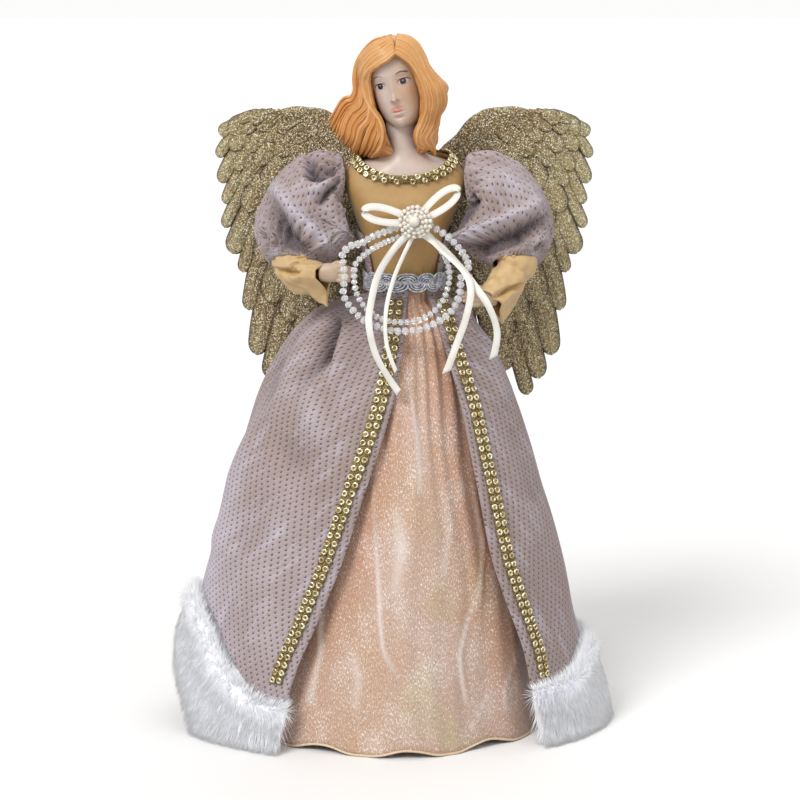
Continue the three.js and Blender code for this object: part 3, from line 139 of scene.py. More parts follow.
floor_material, floor_tree, floor_shader = new_material("studio floor", tone(250, 249, 246), 0.9)
by_eye = add_node(floor_tree, "LightPath").outputs["Is Camera Ray"]
floor_tone = add_node(floor_tree, "Mix", {0: by_eye, 6: (0.6, 0.6, 0.6, 1), 7: (0.97, 0.965, 0.955, 1)},
                      data_type="RGBA")
floor_tree.links.new(floor_tone.outputs[2], floor_shader.inputs["Base Color"])
floor_mesh = bmesh.new()
bmesh.ops.create_grid(floor_mesh, x_segments=1, y_segments=1, size=40)
floor_data = bpy.data.meshes.new("floor")
floor_mesh.to_mesh(floor_data)
floor_data.materials.append(floor_material)
studio_floor = bpy.data.objects.new("floor", floor_data)
bpy.context.collection.objects.link(studio_floor)
print("camera lens", round(camera.data.lens, 1), "mm")

# %% [markdown]
# ## Tools of the workshop
#
# Cloth, ribbon and feathers are all sheets, and a sheet could be drawn point by point or draped by
# simulation. Here each starts as Blender's own grid, whose points are then moved to where a short
# function says. The grid keeps its rows and columns, so its UV map can hold lengths measured along
# the cloth in metres, and a weave laid on it keeps its scale in every fold.

# %% Tools for shapes
def lerp(low, high, share):
    return low + (high - low) * share


def clamp(value, low=0.0, high=1.0):
    return max(low, min(high, value))


def bell(distance, width):
    return math.exp(-((distance / width) ** 2))


def read(table, place, column=1):
    """Smooth reading of a table whose rows are (place, value, ...), ordered by place."""
    last = len(table) - 1
    if place <= table[0][0]:
        return table[0][column]
    if place >= table[last][0]:
        return table[last][column]
    k = next(i for i in range(last) if table[i + 1][0] >= place)

    def slope(i):
        before, after = table[max(i - 1, 0)], table[min(i + 1, last)]
        return (after[column] - before[column]) / (after[0] - before[0])

    width = table[k + 1][0] - table[k][0]
    s = (place - table[k][0]) / width
    start, end = table[k][column], table[k + 1][column]
    eased = start * (1 + 2 * s) * (1 - s) ** 2 + end * s * s * (3 - 2 * s)
    return eased + width * s * (1 - s) * (slope(k) * (1 - s) - slope(k + 1) * s)

# %% A sheet from a grid
def grid_sheet(columns, rows, place, wrap=False, split=0.0, cut=None, flat=None, shade=None):
    """A grid moved to place(across, along). UV holds lengths along the sheet, measured from the
    column at split, unless cut(across, along) gives them; flat is the sheet before its fine folds,
    for the lengths only, and shade(across, along) is kept for the finish: above zero in a hollow,
    below on a crest. A wrapped sheet is welded into a tube."""
    def sample(spot):
        return numpy.array([[spot(j / columns, i / rows) for j in range(columns + 1)]
                            for i in range(rows + 1)])

    bm = bmesh.new()
    bmesh.ops.create_grid(bm, x_segments=columns, y_segments=rows, size=0.5)
    points = sample(place)
    laid = sample(flat) if flat else points
    widths = numpy.linalg.norm(numpy.diff(laid, axis=1), axis=2).cumsum(axis=1)
    widths = numpy.hstack([numpy.zeros((rows + 1, 1)), widths])
    middle = round(columns * split)
    widths = widths - widths[:, middle:middle + 1]
    heights = numpy.linalg.norm(numpy.diff(laid, axis=0), axis=2).cumsum(axis=0)
    heights = numpy.vstack([numpy.zeros((1, columns + 1)), heights])
    layer = bm.loops.layers.uv.new("cloth")
    kept = bm.verts.layers.float.new("shade") if shade else None
    where = {v: (round((v.co.y + 0.5) * rows), round((v.co.x + 0.5) * columns)) for v in bm.verts}
    for face in bm.faces:
        for loop in face.loops:
            i, j = where[loop.vert]
            loop[layer].uv = cut(j / columns, i / rows) if cut else (widths[i, j], heights[i, j])
    for vert, spot in where.items():
        vert.co = points[spot]
        if shade:
            vert[kept] = shade(spot[1] / columns, spot[0] / rows)
    if wrap:
        bmesh.ops.remove_doubles(bm, verts=bm.verts, dist=0.01 * MM)
    return bm

# %% Tubes along a path
def seal(mesh):
    """Fills what is open in a mesh and turns its faces outwards."""
    bmesh.ops.holes_fill(mesh, edges=[e for e in mesh.edges if e.is_boundary])
    bmesh.ops.recalc_face_normals(mesh, faces=mesh.faces)
    return mesh


def sweep(path, frames_side, section, closed=False, cut=None):
    """A tube along a path of points: section(i) lists (side, lift) corners at point i."""
    count = len(path)
    sides = len(section(0))

    def station(i):
        before = path[(i - 1) % count if closed else max(i - 1, 0)]
        after = path[(i + 1) % count if closed else min(i + 1, count - 1)]
        along = (after - before).normalized()
        side = frames_side(i)
        side = (side - along * side.dot(along)).normalized()
        lift = along.cross(side)
        return [path[i] + side * a + lift * b for a, b in section(i)]

    stations = [station(i) for i in range(count)]
    rows = count if closed else count - 1
    tube = grid_sheet(sides, rows, lambda u, v: stations[round(v * rows) % count][round(u * sides) % sides],
                      wrap=True, cut=cut)
    return seal(tube)


def round_section(radius, sides):
    return [(radius * cos(tau * k / sides), radius * sin(tau * k / sides)) for k in range(sides)]


def cord(path, radius, sides, side=(0, 0, 1), closed=False):
    """A round thread along a path."""
    return sweep(path, lambda i: Vector(side), lambda i: round_section(radius, sides), closed)


def smooth_path(points, count, closed=False):
    """Points spaced evenly along a smooth curve through the given points."""
    before_first, after_last = (points[-1], points[:2]) if closed else (points[0], points[-1:])
    spline_points = [before_first, *points, *after_last]
    fine = []
    for a, b, c, d in zip(spline_points, spline_points[1:], spline_points[2:], spline_points[3:]):
        for k in range(12):
            t = k / 12
            fine.append(0.5 * ((2 * b) + (c - a) * t + (2 * a - 5 * b + 4 * c - d) * t ** 2
                               + (3 * b - a - 3 * c + d) * t ** 3))
    fine.append((fine[0] if closed else points[-1]).copy())
    steps = [0.0]
    for before, after in zip(fine, fine[1:]):
        steps.append(steps[-1] + (after - before).length)
    total = steps[-1]
    wanted = [total * k / (count if closed else count - 1) for k in range(count)]
    spots = [numpy.interp(wanted, steps, [p[axis] for p in fine]) for axis in range(3)]
    return [Vector(p) for p in zip(*spots)]

# %% Many pieces in one mesh
def merge(pieces):
    """One bmesh from several."""
    whole = bmesh.new()
    for piece in pieces:
        data = bpy.data.meshes.new("part")
        piece.to_mesh(data)
        piece.free()
        whole.from_mesh(data)
        bpy.data.meshes.remove(data)
    return whole


def copies(template, places):
    """The template's mesh repeated at each matrix of places, as one mesh."""
    data = bpy.data.meshes.new("template")
    template.to_mesh(data)
    template.free()
    count = len(data.vertices)
    corners = numpy.empty(count * 3, numpy.float32)
    data.vertices.foreach_get("co", corners)
    corners = numpy.hstack([corners.reshape(-1, 3), numpy.ones((count, 1), numpy.float32)])
    loops = numpy.empty(len(data.loops), numpy.int32)
    data.loops.foreach_get("vertex_index", loops)
    sizes = numpy.empty(len(data.polygons), numpy.int32)
    data.polygons.foreach_get("loop_total", sizes)
    matrices = numpy.array([[list(row) for row in place] for place in places], numpy.float32)
    repeats = len(matrices)
    spots = numpy.einsum("mij,vj->mvi", matrices[:, :3, :], corners).reshape(-1, 3)
    whole = bpy.data.meshes.new("copies")
    whole.vertices.add(count * repeats)
    whole.vertices.foreach_set("co", spots.ravel())
    whole.loops.add(len(loops) * repeats)
    shift = numpy.repeat(numpy.arange(repeats) * count, len(loops))
    whole.loops.foreach_set("vertex_index", (numpy.tile(loops, repeats) + shift).astype(numpy.int32))
    whole.polygons.add(len(sizes) * repeats)
    all_sizes = numpy.tile(sizes, repeats)
    starts = numpy.concatenate([[0], numpy.cumsum(all_sizes)[:-1]])
    whole.polygons.foreach_set("loop_start", starts.astype(numpy.int32))
    if data.uv_layers:
        spread = numpy.empty(len(data.loops) * 2, numpy.float32)
        data.uv_layers[0].data.foreach_get("uv", spread)
        spread = numpy.tile(spread.reshape(-1, 2), (repeats, 1))
        spread[:, 0] += numpy.repeat(numpy.arange(repeats), len(loops)) * 0.618
        whole.uv_layers.new(name="cloth").data.foreach_set("uv", spread.ravel())
    whole.update(calc_edges=True)
    bpy.data.meshes.remove(data)
    return whole

# %% Hanging a piece on its body
def hang(name, mesh, material, body, replaces=(), smooth=True):
    """Makes the object, gives it its finish and hangs it on the body that carries it."""
    if isinstance(mesh, bmesh.types.BMesh):
        data = bpy.data.meshes.new(name)
        mesh.to_mesh(data)
        mesh.free()
    else:
        data = mesh
        data.name = name
    data.materials.append(material)
    data.polygons.foreach_set("use_smooth", [smooth] * len(data.polygons))
    piece = bpy.data.objects.new(name, data)
    bpy.context.collection.objects.link(piece)
    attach(piece, body)
    if replaces:
        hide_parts(*replaces)
    print(name, len(data.polygons), "faces")
    return piece


def turned(mesh):
    """The same sheet with its outer side where its inner one was."""
    bmesh.ops.reverse_faces(mesh, faces=mesh.faces)
    return mesh


def thicken(piece, thickness):
    """Gives a sheet its thickness behind the face that shows."""
    wall = piece.modifiers.new("thickness", "SOLIDIFY")
    wall.thickness = thickness
    wall.offset = -1
    return piece

# %% [markdown]
# ## The shape under the skirts
#
# The skirts are gathered at the waist and fall over one another, so every layer follows one profile
# with its own distance from it. The profile is a table of shares of the sizes at the floor, and the
# layers can't run into each other whatever their folds do.

# %% Skirt profile
waist_height = 262 * MM
body_lean = 6.5 * MM
clearance = 0.35 * MM
skirt_half_width = 94 * MM
skirt_front_depth = 85 * MM
skirt_back_depth = 71 * MM
coat_left_width = 119 * MM
coat_right_width = 113 * MM
coat_back_depth = 75 * MM
organza_thickness = 0.9 * MM
coat_thickness = 1.5 * MM
skirt_shares = (  # height, half width, front depth, back depth
    (0, 1, 1, 1), (0.15, 0.935, 0.955, 0.95), (0.31, 0.85, 0.89, 0.87), (0.46, 0.75, 0.8, 0.77),
    (0.61, 0.635, 0.69, 0.65), (0.76, 0.51, 0.55, 0.52), (0.89, 0.37, 0.38, 0.385),
    (0.94, 0.285, 0.27, 0.3), (0.965, 0.205, 0.182, 0.215), (1, 0.205, 0.182, 0.215),
)


def skirt_point(angle, z, offset):
    """A point of the organza's outer face at a height, moved outwards by offset."""
    height = z / waist_height
    side = skirt_half_width * read(skirt_shares, height, 1) + offset
    front = skirt_front_depth * read(skirt_shares, height, 2)
    back = skirt_back_depth * read(skirt_shares, height, 3)
    depth = lerp(back, front, (1 - sin(angle)) / 2) + offset
    return Vector((body_lean * height + side * cos(angle), depth * sin(angle), z))

# %% [markdown]
# ## Cloth finishes
#
# Three effects come back in several cloths: slow patches of lighter and darker dye, a fine grain of
# threads, and the staggered pinholes of the knit. Each is a node group, built once. The pinholes
# could be cut as geometry, but there are thousands, each a millimetre long, so they are a mask that
# darkens the colour and dents the surface.

# %% Shared effects
def new_group(name, inputs, outputs):
    """An empty shader node group with named sockets."""
    made = bpy.data.node_groups.new(name, "ShaderNodeTree")
    for title, kind, value in inputs:
        socket = made.interface.new_socket(title, in_out="INPUT", socket_type="NodeSocket" + kind)
        if value is not None:
            socket.default_value = value
    for title, kind in outputs:
        made.interface.new_socket(title, in_out="OUTPUT", socket_type="NodeSocket" + kind)
    return made, made.nodes.new("NodeGroupInput").outputs, made.nodes.new("NodeGroupOutput")


def use_group(tree, group, **inputs):
    """The outputs of a group placed in a material."""
    made = tree.nodes.new("ShaderNodeGroup")
    made.node_tree = group
    for key, value in inputs.items():
        socket = made.inputs[key.replace("_", " ").title()]
        if isinstance(value, bpy.types.NodeSocket):
            tree.links.new(value, socket)
        else:
            socket.default_value = value
    return made.outputs


def uv_of(tree, scale=(1, 1, 1), turn=0.0):
    """The piece's own UV map, in metres along the cloth."""
    spread = add_node(tree, "UVMap", uv_map="cloth")
    return add_node(tree, "Mapping", {0: spread.outputs[0], 2: (0, 0, turn), 3: scale}).outputs[0]


def place_of(tree, scale=(1, 1, 1)):
    """Object coordinates, for a pattern that doesn't follow a weave."""
    spot = add_node(tree, "TexCoord")
    return add_node(tree, "Mapping", {0: spot.outputs["Object"], 3: scale}).outputs[0]


def shade_of(tree):
    """The shade that a sheet keeps: above zero in a hollow, below on a crest."""
    return add_node(tree, "Attribute", attribute_name="shade").outputs["Fac"]


def mix_color(tree, share, low, high):
    """Two colours mixed, each a result of the nodes or a screen colour from 0 to 255."""
    low, high = (tone(*c) if isinstance(c, tuple) else c for c in (low, high))
    return add_node(tree, "Mix", {0: share, 6: low, 7: high}, data_type="RGBA").outputs[2]


def noise_of(tree, vector, scale, detail=2.0, roughness=0.5):
    made = add_node(tree, "TexNoise", {"Vector": vector, "Scale": scale, "Detail": detail,
                                       "Roughness": roughness})
    return made.outputs["Fac"]


def ramp(tree, value, low, high, start=0.0, end=1.0):
    """A value moved from low..high to start..end, and held there."""
    return add_node(tree, "MapRange", {0: value, 1: low, 2: high, 3: start, 4: end}).outputs[0]


def bump(tree, height, strength, distance, below=None):
    made = add_node(tree, "Bump", {"Strength": strength, "Distance": distance, "Height": height})
    if below is not None:
        tree.links.new(below, made.inputs["Normal"])
    return made.outputs[0]

# %% More node helpers
def vector_node(tree, operation, *values):
    """The result of one sum on vectors, or the length of one."""
    made = add_node(tree, "VectorMath", enumerate(values), operation=operation)
    return made.outputs["Value" if operation == "LENGTH" else "Vector"]


def axes_of(tree, vector):
    """The three parts of a vector."""
    return add_node(tree, "SeparateXYZ", {0: vector}).outputs


def tinted(tree, color, tints):
    """A colour with tints over it: each is a value, its range, the tint's share there and the tint."""
    for value, low, high, share, tint in tints:
        color = mix_color(tree, ramp(tree, value, low, high, 0, share), color, tint)
    return color


def plug(shader, **results):
    """Links results to the shader's own sockets."""
    for key, result in results.items():
        shader.id_data.links.new(result, shader.inputs[key.replace("_", " ").title()])


def grained(shader, low, high, scale, detail=2.0, roughness=0.5, span=None):
    """Two colours mixed by a fine grain, which comes back for the other sockets."""
    tree = shader.id_data
    grain = noise_of(tree, place_of(tree), scale, detail, roughness)
    share = ramp(tree, grain, *span) if span else grain
    plug(shader, base_color=mix_color(tree, share, low, high))
    return grain

# %% Patches, threads and pinholes
mottle, mottle_in, mottle_out = new_group(
    "mottle", [("Vector", "Vector", None), ("Scale", "Float", 30.0)], [("Value", "Float")])
patches = noise_of(mottle, mottle_in["Vector"], mottle_in["Scale"], 3.0, 0.6)
mottle.links.new(ramp(mottle, patches, 0.3, 0.7), mottle_out.inputs["Value"])

threads, threads_in, threads_out = new_group(
    "threads", [("Vector", "Vector", None), ("Pitch", "Float", 0.0005)], [("Height", "Float")])
apart = axes_of(threads, threads_in["Vector"])
turns = [math_node(threads, "SINE", math_node(threads, "DIVIDE", math_node(
    threads, "MULTIPLY", apart[axis], tau), threads_in["Pitch"])) for axis in (0, 1)]
grain = math_node(threads, "MULTIPLY_ADD", math_node(threads, "MULTIPLY", *turns), 0.25, 0.5)
threads.links.new(grain, threads_out.inputs["Height"])

pinholes, pinholes_in, pinholes_out = new_group(
    "pinholes", [("Vector", "Vector", None), ("Across", "Float", 0.0041), ("Along", "Float", 0.0027)],
    [("Hole", "Float"), ("Dimple", "Float")])
apart = axes_of(pinholes, pinholes_in["Vector"])
row = math_node(pinholes, "DIVIDE", apart[1], pinholes_in["Along"])
odd_row = math_node(pinholes, "FLOORED_MODULO", math_node(pinholes, "FLOOR", row), 2.0)
stagger = math_node(pinholes, "MULTIPLY", odd_row, 0.5)
column = math_node(pinholes, "ADD", math_node(pinholes, "DIVIDE", apart[0], pinholes_in["Across"]), stagger)
down_hole = math_node(pinholes, "SUBTRACT", math_node(pinholes, "FRACT", row), 0.5)
over_hole = math_node(pinholes, "SUBTRACT", math_node(pinholes, "FRACT", column), 0.5)
hole_height = math_node(pinholes, "MULTIPLY", pinholes_in["Along"], 0.8)
from_hole = add_node(pinholes, "CombineXYZ", {
    0: math_node(pinholes, "MULTIPLY", over_hole, pinholes_in["Across"]),
    1: math_node(pinholes, "MULTIPLY", down_hole, hole_height)}).outputs[0]
away = vector_node(pinholes, "LENGTH", from_hole)
pinholes.links.new(ramp(pinholes, away, 0.00068, 0.00036), pinholes_out.inputs["Hole"])
pinholes.links.new(ramp(pinholes, away, 0.0015, 0.0004), pinholes_out.inputs["Dimple"])


def mottled(tree, vector, scale):
    """Slow patches from 0 to 1."""
    return use_group(tree, mottle, vector=vector, scale=scale)["Value"]


def woven(tree, vector, pitch):
    """The height of crossing threads, from 0 to 1."""
    return use_group(tree, threads, vector=vector, pitch=pitch)["Height"]

# %% [markdown]
# ## Mauve knit
#
# The coat and the sleeves are cut from one brushed jersey with rows of pinholes. A picture of cloth
# could be wrapped round them; tints, nap, streaks of painted sheen and holes are mixed from noise here,
# so they stay sharp at any distance. Painted shade darkens the hollows of the folds and a painted
# highlight lightens their crests. The holes of the sleeves stand a little further apart, as on
# stretched cloth.

# %% Mauve knit
def knit_finish(name, hole_across, hole_along):
    """Dusty mauve knit with staggered pinholes, brushed and slightly patchy, with painted sheen and shade."""
    made, tree, shader = new_material(name, tone(186, 170, 172), 0.86, sheen_weight=0.5,
                                      sheen_roughness=0.4, sheen_tint=tone(226, 220, 240))
    cloth = uv_of(tree)
    cloth_colour = mix_color(tree, mottled(tree, place_of(tree), 26.0), (158, 137, 133), (184, 167, 167))
    body = axes_of(tree, place_of(tree))
    warm = math_node(tree, "MAXIMUM", ramp(tree, body[2], 0.1, 0.16, 0, 0.4),
                     ramp(tree, body[0], 0.0, 0.06, 0, 0.55))
    cloth_colour = mix_color(tree, warm, cloth_colour, (152, 124, 104))
    # Stretched streaks: painted sheen where they turn lilac, darker brown streaks between them.
    sheen_streaks = noise_of(tree, uv_of(tree, (1, 0.22, 1), 0.35), 130.0, 4.0, 0.65)
    depth = shade_of(tree)
    fuzz = noise_of(tree, cloth, 1500.0, 2.0)
    # Painted sheen in streaks and along the left edge, a painted highlight on crests, painted shade in hollows.
    cloth_colour = tinted(tree, cloth_colour, (
        (sheen_streaks, 0.5, 0.72, 0.8, (207, 197, 212)), (sheen_streaks, 0.42, 0.25, 0.5, (150, 132, 120)),
        (body[0], -0.085, -0.118, 0.6, (222, 216, 232)), (depth, 0.0, -1.0, 0.85, (226, 220, 236)),
        (depth, 0.08, 1.0, 0.95, (66, 46, 42)), (fuzz, 0.3, 0.7, 0.35, (212, 202, 206))))
    wobble = add_node(tree, "TexNoise", {"Vector": cloth, "Scale": 160.0, "Detail": 1.0})
    nudge = vector_node(tree, "MULTIPLY", wobble.outputs["Color"], (0.0009, 0.0009, 0))
    holes = use_group(tree, pinholes, vector=vector_node(tree, "ADD", cloth, nudge), across=hole_across,
                      along=hole_along)
    ribs = math_node(tree, "MULTIPLY", woven(tree, cloth, 0.00105), 0.7)
    soft = math_node(tree, "SUBTRACT", math_node(tree, "MULTIPLY_ADD", fuzz, 0.3, ribs),
                     math_node(tree, "MULTIPLY", holes["Dimple"], 0.9))
    plug(shader, base_color=mix_color(tree, holes["Hole"], cloth_colour, (98, 76, 70)),
         normal=bump(tree, soft, 0.7, 0.001))
    return made


mauve_knit = knit_finish("mauve knit", 0.0041, 0.0028)
sleeve_knit = knit_finish("mauve knit of the sleeves", 0.0042, 0.0036)

# %% [markdown]
# ## The coat
#
# The coat is a gathered panel, open at the front and lifted at one side. It could be draped over a
# dummy by simulation; here its two front edges, its hem and its folds are known from the frame, so
# one function lays the cloth down and adds the creases that gathering leaves below the waist.

# %% Coat cloth
coat_hem_height = 80 * MM
coat_pleat_depth = 7 * MM
coat_shares = (  # height, half width towards +X, towards -X
    (0.14, 1.0, 1.0), (0.2, 0.975, 1.0), (0.31, 0.915, 0.985), (0.41, 0.855, 0.945),
    (0.49, 0.805, 0.885), (0.6, 0.725, 0.825), (0.7, 0.64, 0.765), (0.78, 0.565, 0.7),
    (0.85, 0.48, 0.615), (0.9, 0.405, 0.535), (0.945, 0.33, 0.42), (0.965, 0.25, 0.3),
    (0.978, 0.182, 0.176), (1, 0.182, 0.176),
)
coat_front_edge_shares = (  # height, edge towards +X, towards -X, over the half width there
    (0.14, 0.7, -0.51), (0.21, 0.665, -0.46), (0.27, 0.615, -0.405), (0.34, 0.55, -0.345),
    (0.43, 0.475, -0.27), (0.57, 0.4, -0.175), (0.66, 0.35, -0.11), (0.76, 0.295, -0.045),
    (0.86, 0.22, -0.005), (0.95, 0.15, 0.012), (1, 0.095, 0.02),
)
coat_hem_shares = (  # across the cloth from the edge at +X round the back, height over the hem's
    (0, 0.44), (0.06, 0.47), (0.14, 0.64), (0.3, 0.6), (0.5, 0.56), (0.66, 0.76), (0.79, 1.02),
    (0.868, 0.85), (0.91, 0.62), (0.964, 0.39), (1, 0.36),
)
# Through coat_shade these marks also paint shade into their hollows and a highlight on their ridges.
coat_marks = (  # points (x, z, depth), half width and how much narrower on the left-hand side
    (((-35, 240, 5), (-39, 231, 9), (-41, 222, 7)), 3.6, 0.5),
    (((-40, 222, 6), (-47, 214, 4), (-55, 205, 2)), 3.2, 0.6),
    (((-30, 236, -2), (-34, 222, -3), (-36, 208, -2.4)), 3.4, 1.0),
    (((-48, 202, -2), (-45, 190, -4), (-38, 173, -2)), 8.0, 1.0),
    (((-66, 176, 1.6), (-56, 167, 3), (-46, 162, 2)), 9.0, 1.0),
    (((-84, 190, -2), (-98, 150, -4), (-108, 115, -3)), 9.0, 1.0),
    (((-70, 215, 1.5), (-76, 190, 2), (-80, 168, 1.5)), 4.0, 1.0),
    (((-76, 140, 1.2), (-88, 116, 2)), 6.0, 1.0),
    (((-64, 128, -2), (-72, 100, -2)), 9.0, 1.0),
    (((44, 222, 4), (50, 205, 3), (53, 185, 1)), 4.0, 0.6), (((56, 228, -2), (64, 200, -2)), 5.0, 1.0),
    (((72, 176, 1.4), (84, 140, 1.6)), 5.0, 1.0), (((66, 150, -1.6), (76, 118, -2)), 8.0, 1.0),
)
coat_top = waist_height - clearance
coat_gap = 3 * clearance + coat_thickness

# %% Marks pressed into cloth
def press(spot, marks, front):
    """How far the marks push a point of the cloth in, seen from the front."""
    depth = 0.0
    for line, width, narrow in marks:
        nearest, left, amount = 1.0, 0.0, 0.0
        for (x1, z1, deep1), (x2, z2, deep2) in zip(line, line[1:]):
            start, run = Vector((x1, z1)) * MM, Vector((x2 - x1, z2 - z1)) * MM
            here = Vector((spot.x, spot.z)) - start
            share = clamp(here.dot(run) / run.length_squared)
            gap = here - run * share
            if gap.length < nearest:
                nearest, left = gap.length, run.x * here.y - run.y * here.x
                amount = lerp(deep1, deep2, share)
        depth += amount * MM * bell(nearest, width * MM * (narrow if left > 0 else 1))
    return depth * front

# %% Where the coat lies
def coat_side(angle, z):
    height = z / waist_height
    right = coat_right_width * read(coat_shares, height, 1)
    left = coat_left_width * read(coat_shares, height, 2)
    return lerp(left, right, (1 + cos(angle)) / 2)


def coat_point(angle, z, offset):
    """A point of the coat's outer face, moved outwards by offset."""
    height = z / waist_height
    front = skirt_front_depth * read(skirt_shares, height, 2) + coat_gap
    back_depth = lerp(skirt_back_depth, coat_back_depth, clamp(8 * (1 - height)))
    back = back_depth * read(skirt_shares, height, 3) + coat_gap
    depth = lerp(back, front, (1 - sin(angle)) / 2) + offset
    side = max(coat_side(angle, z), skirt_half_width * read(skirt_shares, height, 1) + coat_gap) + offset
    return Vector((body_lean * height + side * cos(angle), depth * sin(angle), z))


def coat_edges(z):
    """The angles of the coat's two front edges at a height."""
    height = z / waist_height
    right_x = coat_right_width * read(coat_front_edge_shares, height, 1)
    left_x = coat_left_width * read(coat_front_edge_shares, height, 2)
    right = -math.acos(clamp(right_x / coat_side(-1, z), -1, 1))
    left = tau - math.acos(clamp(left_x / coat_side(4, z), -1, 1))
    return right, left

# %% Folds and creases of the coat
def coat_fold(across, down):
    """Three pleats beside the edge at -X, and softer waves round the back."""
    pleat = bell(across - 0.9 + 0.1 * down, 0.035 + 0.05 * down) * bell(down - 0.14, 0.2)
    second = bell(across - 0.78 + 0.06 * down, 0.035 + 0.03 * down) * bell(down - 0.3, 0.3)
    swell = bell(across - 0.84, 0.05) * bell(down - 0.3, 0.25)
    waves = 0.5 - 0.5 * cos(7 * tau * across)
    back = bell(across - 0.45, 0.3) * waves * min(1, 3 * down)
    third = bell(across - 0.955 + 0.12 * down, 0.016 + 0.02 * down) * bell(down - 0.12, 0.16)
    return coat_pleat_depth * (0.6 * swell - 1.1 * pleat - 0.8 * second - 0.5 * third - 0.5 * back)


def coat_crease(across, down):
    """Fine gathers that leave the waist and die away, and slow dents lower down, none at the trims."""
    gathers = 0.5 - 0.5 * cos(46 * tau * across + 3 * noise.noise(Vector((9 * across, 2 * down, 0))))
    near_waist = bell(down - 0.05, 0.11) * clamp(12 * down)
    dents = noise.noise(Vector((11 * across + 1.3 * down, 3.6 * down, 4.2)))
    drag = bell(across - 0.86 + 0.16 * down, 0.02) * bell(down - 0.3, 0.14)
    inside = clamp(12 * min(across, 1 - across) - 0.35)
    slow = 2.4 * MM * dents * clamp(5 * down) * clamp(9 * (1 - down))
    return inside * (slow - 1.9 * MM * gathers * near_waist - 2.2 * MM * drag)


def coat_hem(across):
    return coat_hem_height * read(coat_hem_shares, across)


def coat_press(across, angle, z):
    """The marks' depth at a place on the front, none under the trims."""
    inside = clamp(14 * min(across, 1 - across) - 0.4) * clamp(-2.5 * sin(angle) + 0.6)
    return press(coat_point(angle, z, 0), coat_marks, inside) if inside > 0 else 0.0


def coat_surface(across, down, offset, fine=0.0):
    """The coat across from its edge at +X round the back, and down from the waist."""
    z = lerp(coat_top, coat_hem(across), down)
    right, left = coat_edges(z)
    angle = lerp(right, left, across)
    room = coat_side(angle, z) - skirt_half_width * read(skirt_shares, z / waist_height, 1) - coat_gap
    slack = 0.8 * max(0, room * abs(cos(angle)))
    pressed = fine * coat_press(across, angle, z) if fine else 0
    fold = max(coat_fold(across, down) + fine * coat_crease(across, down) - pressed, -slack)
    return coat_point(angle, z, fold + offset)


def coat_shade(across, down):
    """Painted shade in a mark's hollow or a pleat, and a painted highlight on a crest or swell."""
    z = lerp(coat_top, coat_hem(across), down)
    angle = lerp(*coat_edges(z), across)
    return (coat_press(across, angle, z) - 0.3 * coat_fold(across, down)) / (7 * MM)

# %% The coat is laid
coat_columns = 230
coat_rows = 92
coat = grid_sheet(coat_columns, coat_rows, lambda u, v: coat_surface(u, v ** 1.25, 0, 1.0), split=0.5,
                  flat=lambda u, v: coat_surface(u, v ** 1.25, 0),
                  shade=lambda u, v: coat_shade(u, v ** 1.25))
coat = hang("coat_cloth", turned(coat), mauve_knit, "figure", ["coat_skirt"])
thicken(coat, coat_thickness)

# %% [markdown]
# ## Organza over satin
#
# Organza is a thin, stiff, shimmering cloth. It could be a clear layer over the satin, which is slow
# to render and turns grey where it is seen edge on. Its look is the sum of both layers, so it is
# written as one cloth: peach from the satin, lilac and straw where the sheen turns, a painted
# highlight on the crests of its folds, painted shade beside the coat's edges and a dense spray of
# bright flecks.

# %% Organza finish
organza_finish, tree, shader = new_material("organza", tone(232, 202, 180), 0.42, sheen_weight=0.3,
                                            sheen_roughness=0.4, specular_ior_level=0.4)
lilac = mottled(tree, place_of(tree), 18.0)
straw = mottled(tree, place_of(tree, (1.3, 1.3, 0.8)), 27.0)
fold = shade_of(tree)
clumps = mottled(tree, uv_of(tree, (1, 0.6, 1)), 42.0)
weft = noise_of(tree, uv_of(tree, (1, 0.3, 1), 0.25), 1500.0, 2.0, 0.6)
specks = noise_of(tree, uv_of(tree, (1, 0.45, 1), -0.2), 1350.0, 2.0, 0.7)
sparkle = ramp(tree, math_node(tree, "MULTIPLY_ADD", clumps, 0.1, specks), 0.59, 0.74)
cloth_colour = mix_color(tree, ramp(tree, lilac, 0.1, 0.9), (194, 158, 128), (200, 172, 158))
# fold is the kept shade: rust-brown painted shade beside the coat's edges, a painted highlight on crests.
cloth_colour = tinted(tree, cloth_colour, (
    (straw, 0.66, 1, 0.5, (194, 180, 138)), (straw, 0.25, 0, 0.5, (198, 152, 120)),
    (fold, 0.0, 1.0, 0.8, (186, 126, 88)), (clumps, 0.45, 1, 0.25, (228, 214, 204)),
    (weft, 0.52, 0.3, 0.6, (176, 134, 104)), (weft, 0.55, 0.7, 0.45, (232, 212, 196)),
    (sparkle, 0, 1, 0.9, (255, 250, 244)), (fold, 0.0, -1.0, 0.6, (244, 232, 226))))
crinkle = noise_of(tree, uv_of(tree, (1, 0.5, 1), 0.3), 260.0, 4.0, 0.65)
plug(shader, base_color=cloth_colour, roughness=ramp(tree, sparkle, 0, 1, 0.46, 0.22),
     normal=bump(tree, crinkle, 0.45, 0.001, bump(tree, specks, 0.3, 0.0004)))

satin_finish, tree, shader = new_material("peach satin", tone(226, 180, 143), 0.4, sheen_weight=0.2)
plug(shader, base_color=mix_color(tree, mottled(tree, place_of(tree), 30.0), (216, 168, 130),
                                  (234, 196, 164)))

# %% [markdown]
# ## Organza skirt and its lining
#
# The overskirt is gathered at the waist and falls to a rolled, wavy hem over a satin lining. A cloth
# simulation would choose its own folds; the long crests of this skirt are known, so they are drawn
# as marks, and waves that grow towards the hem make the rest.

# %% Organza skirt and its lining
skirt_fold_depth = 3.2 * MM
lining_inset = 2.4 * MM
lining_hem_lift = 4 * MM
lining_thickness = 0.8 * MM
hem_wave = 4.2 * MM
skirt_top = waist_height - 2 * clearance


def organza_hem(angle):
    wave = (0.5 - 0.5 * cos(11 * angle + 0.6)) ** 1.4
    return hem_wave * wave * (0.6 - 0.4 * sin(angle))


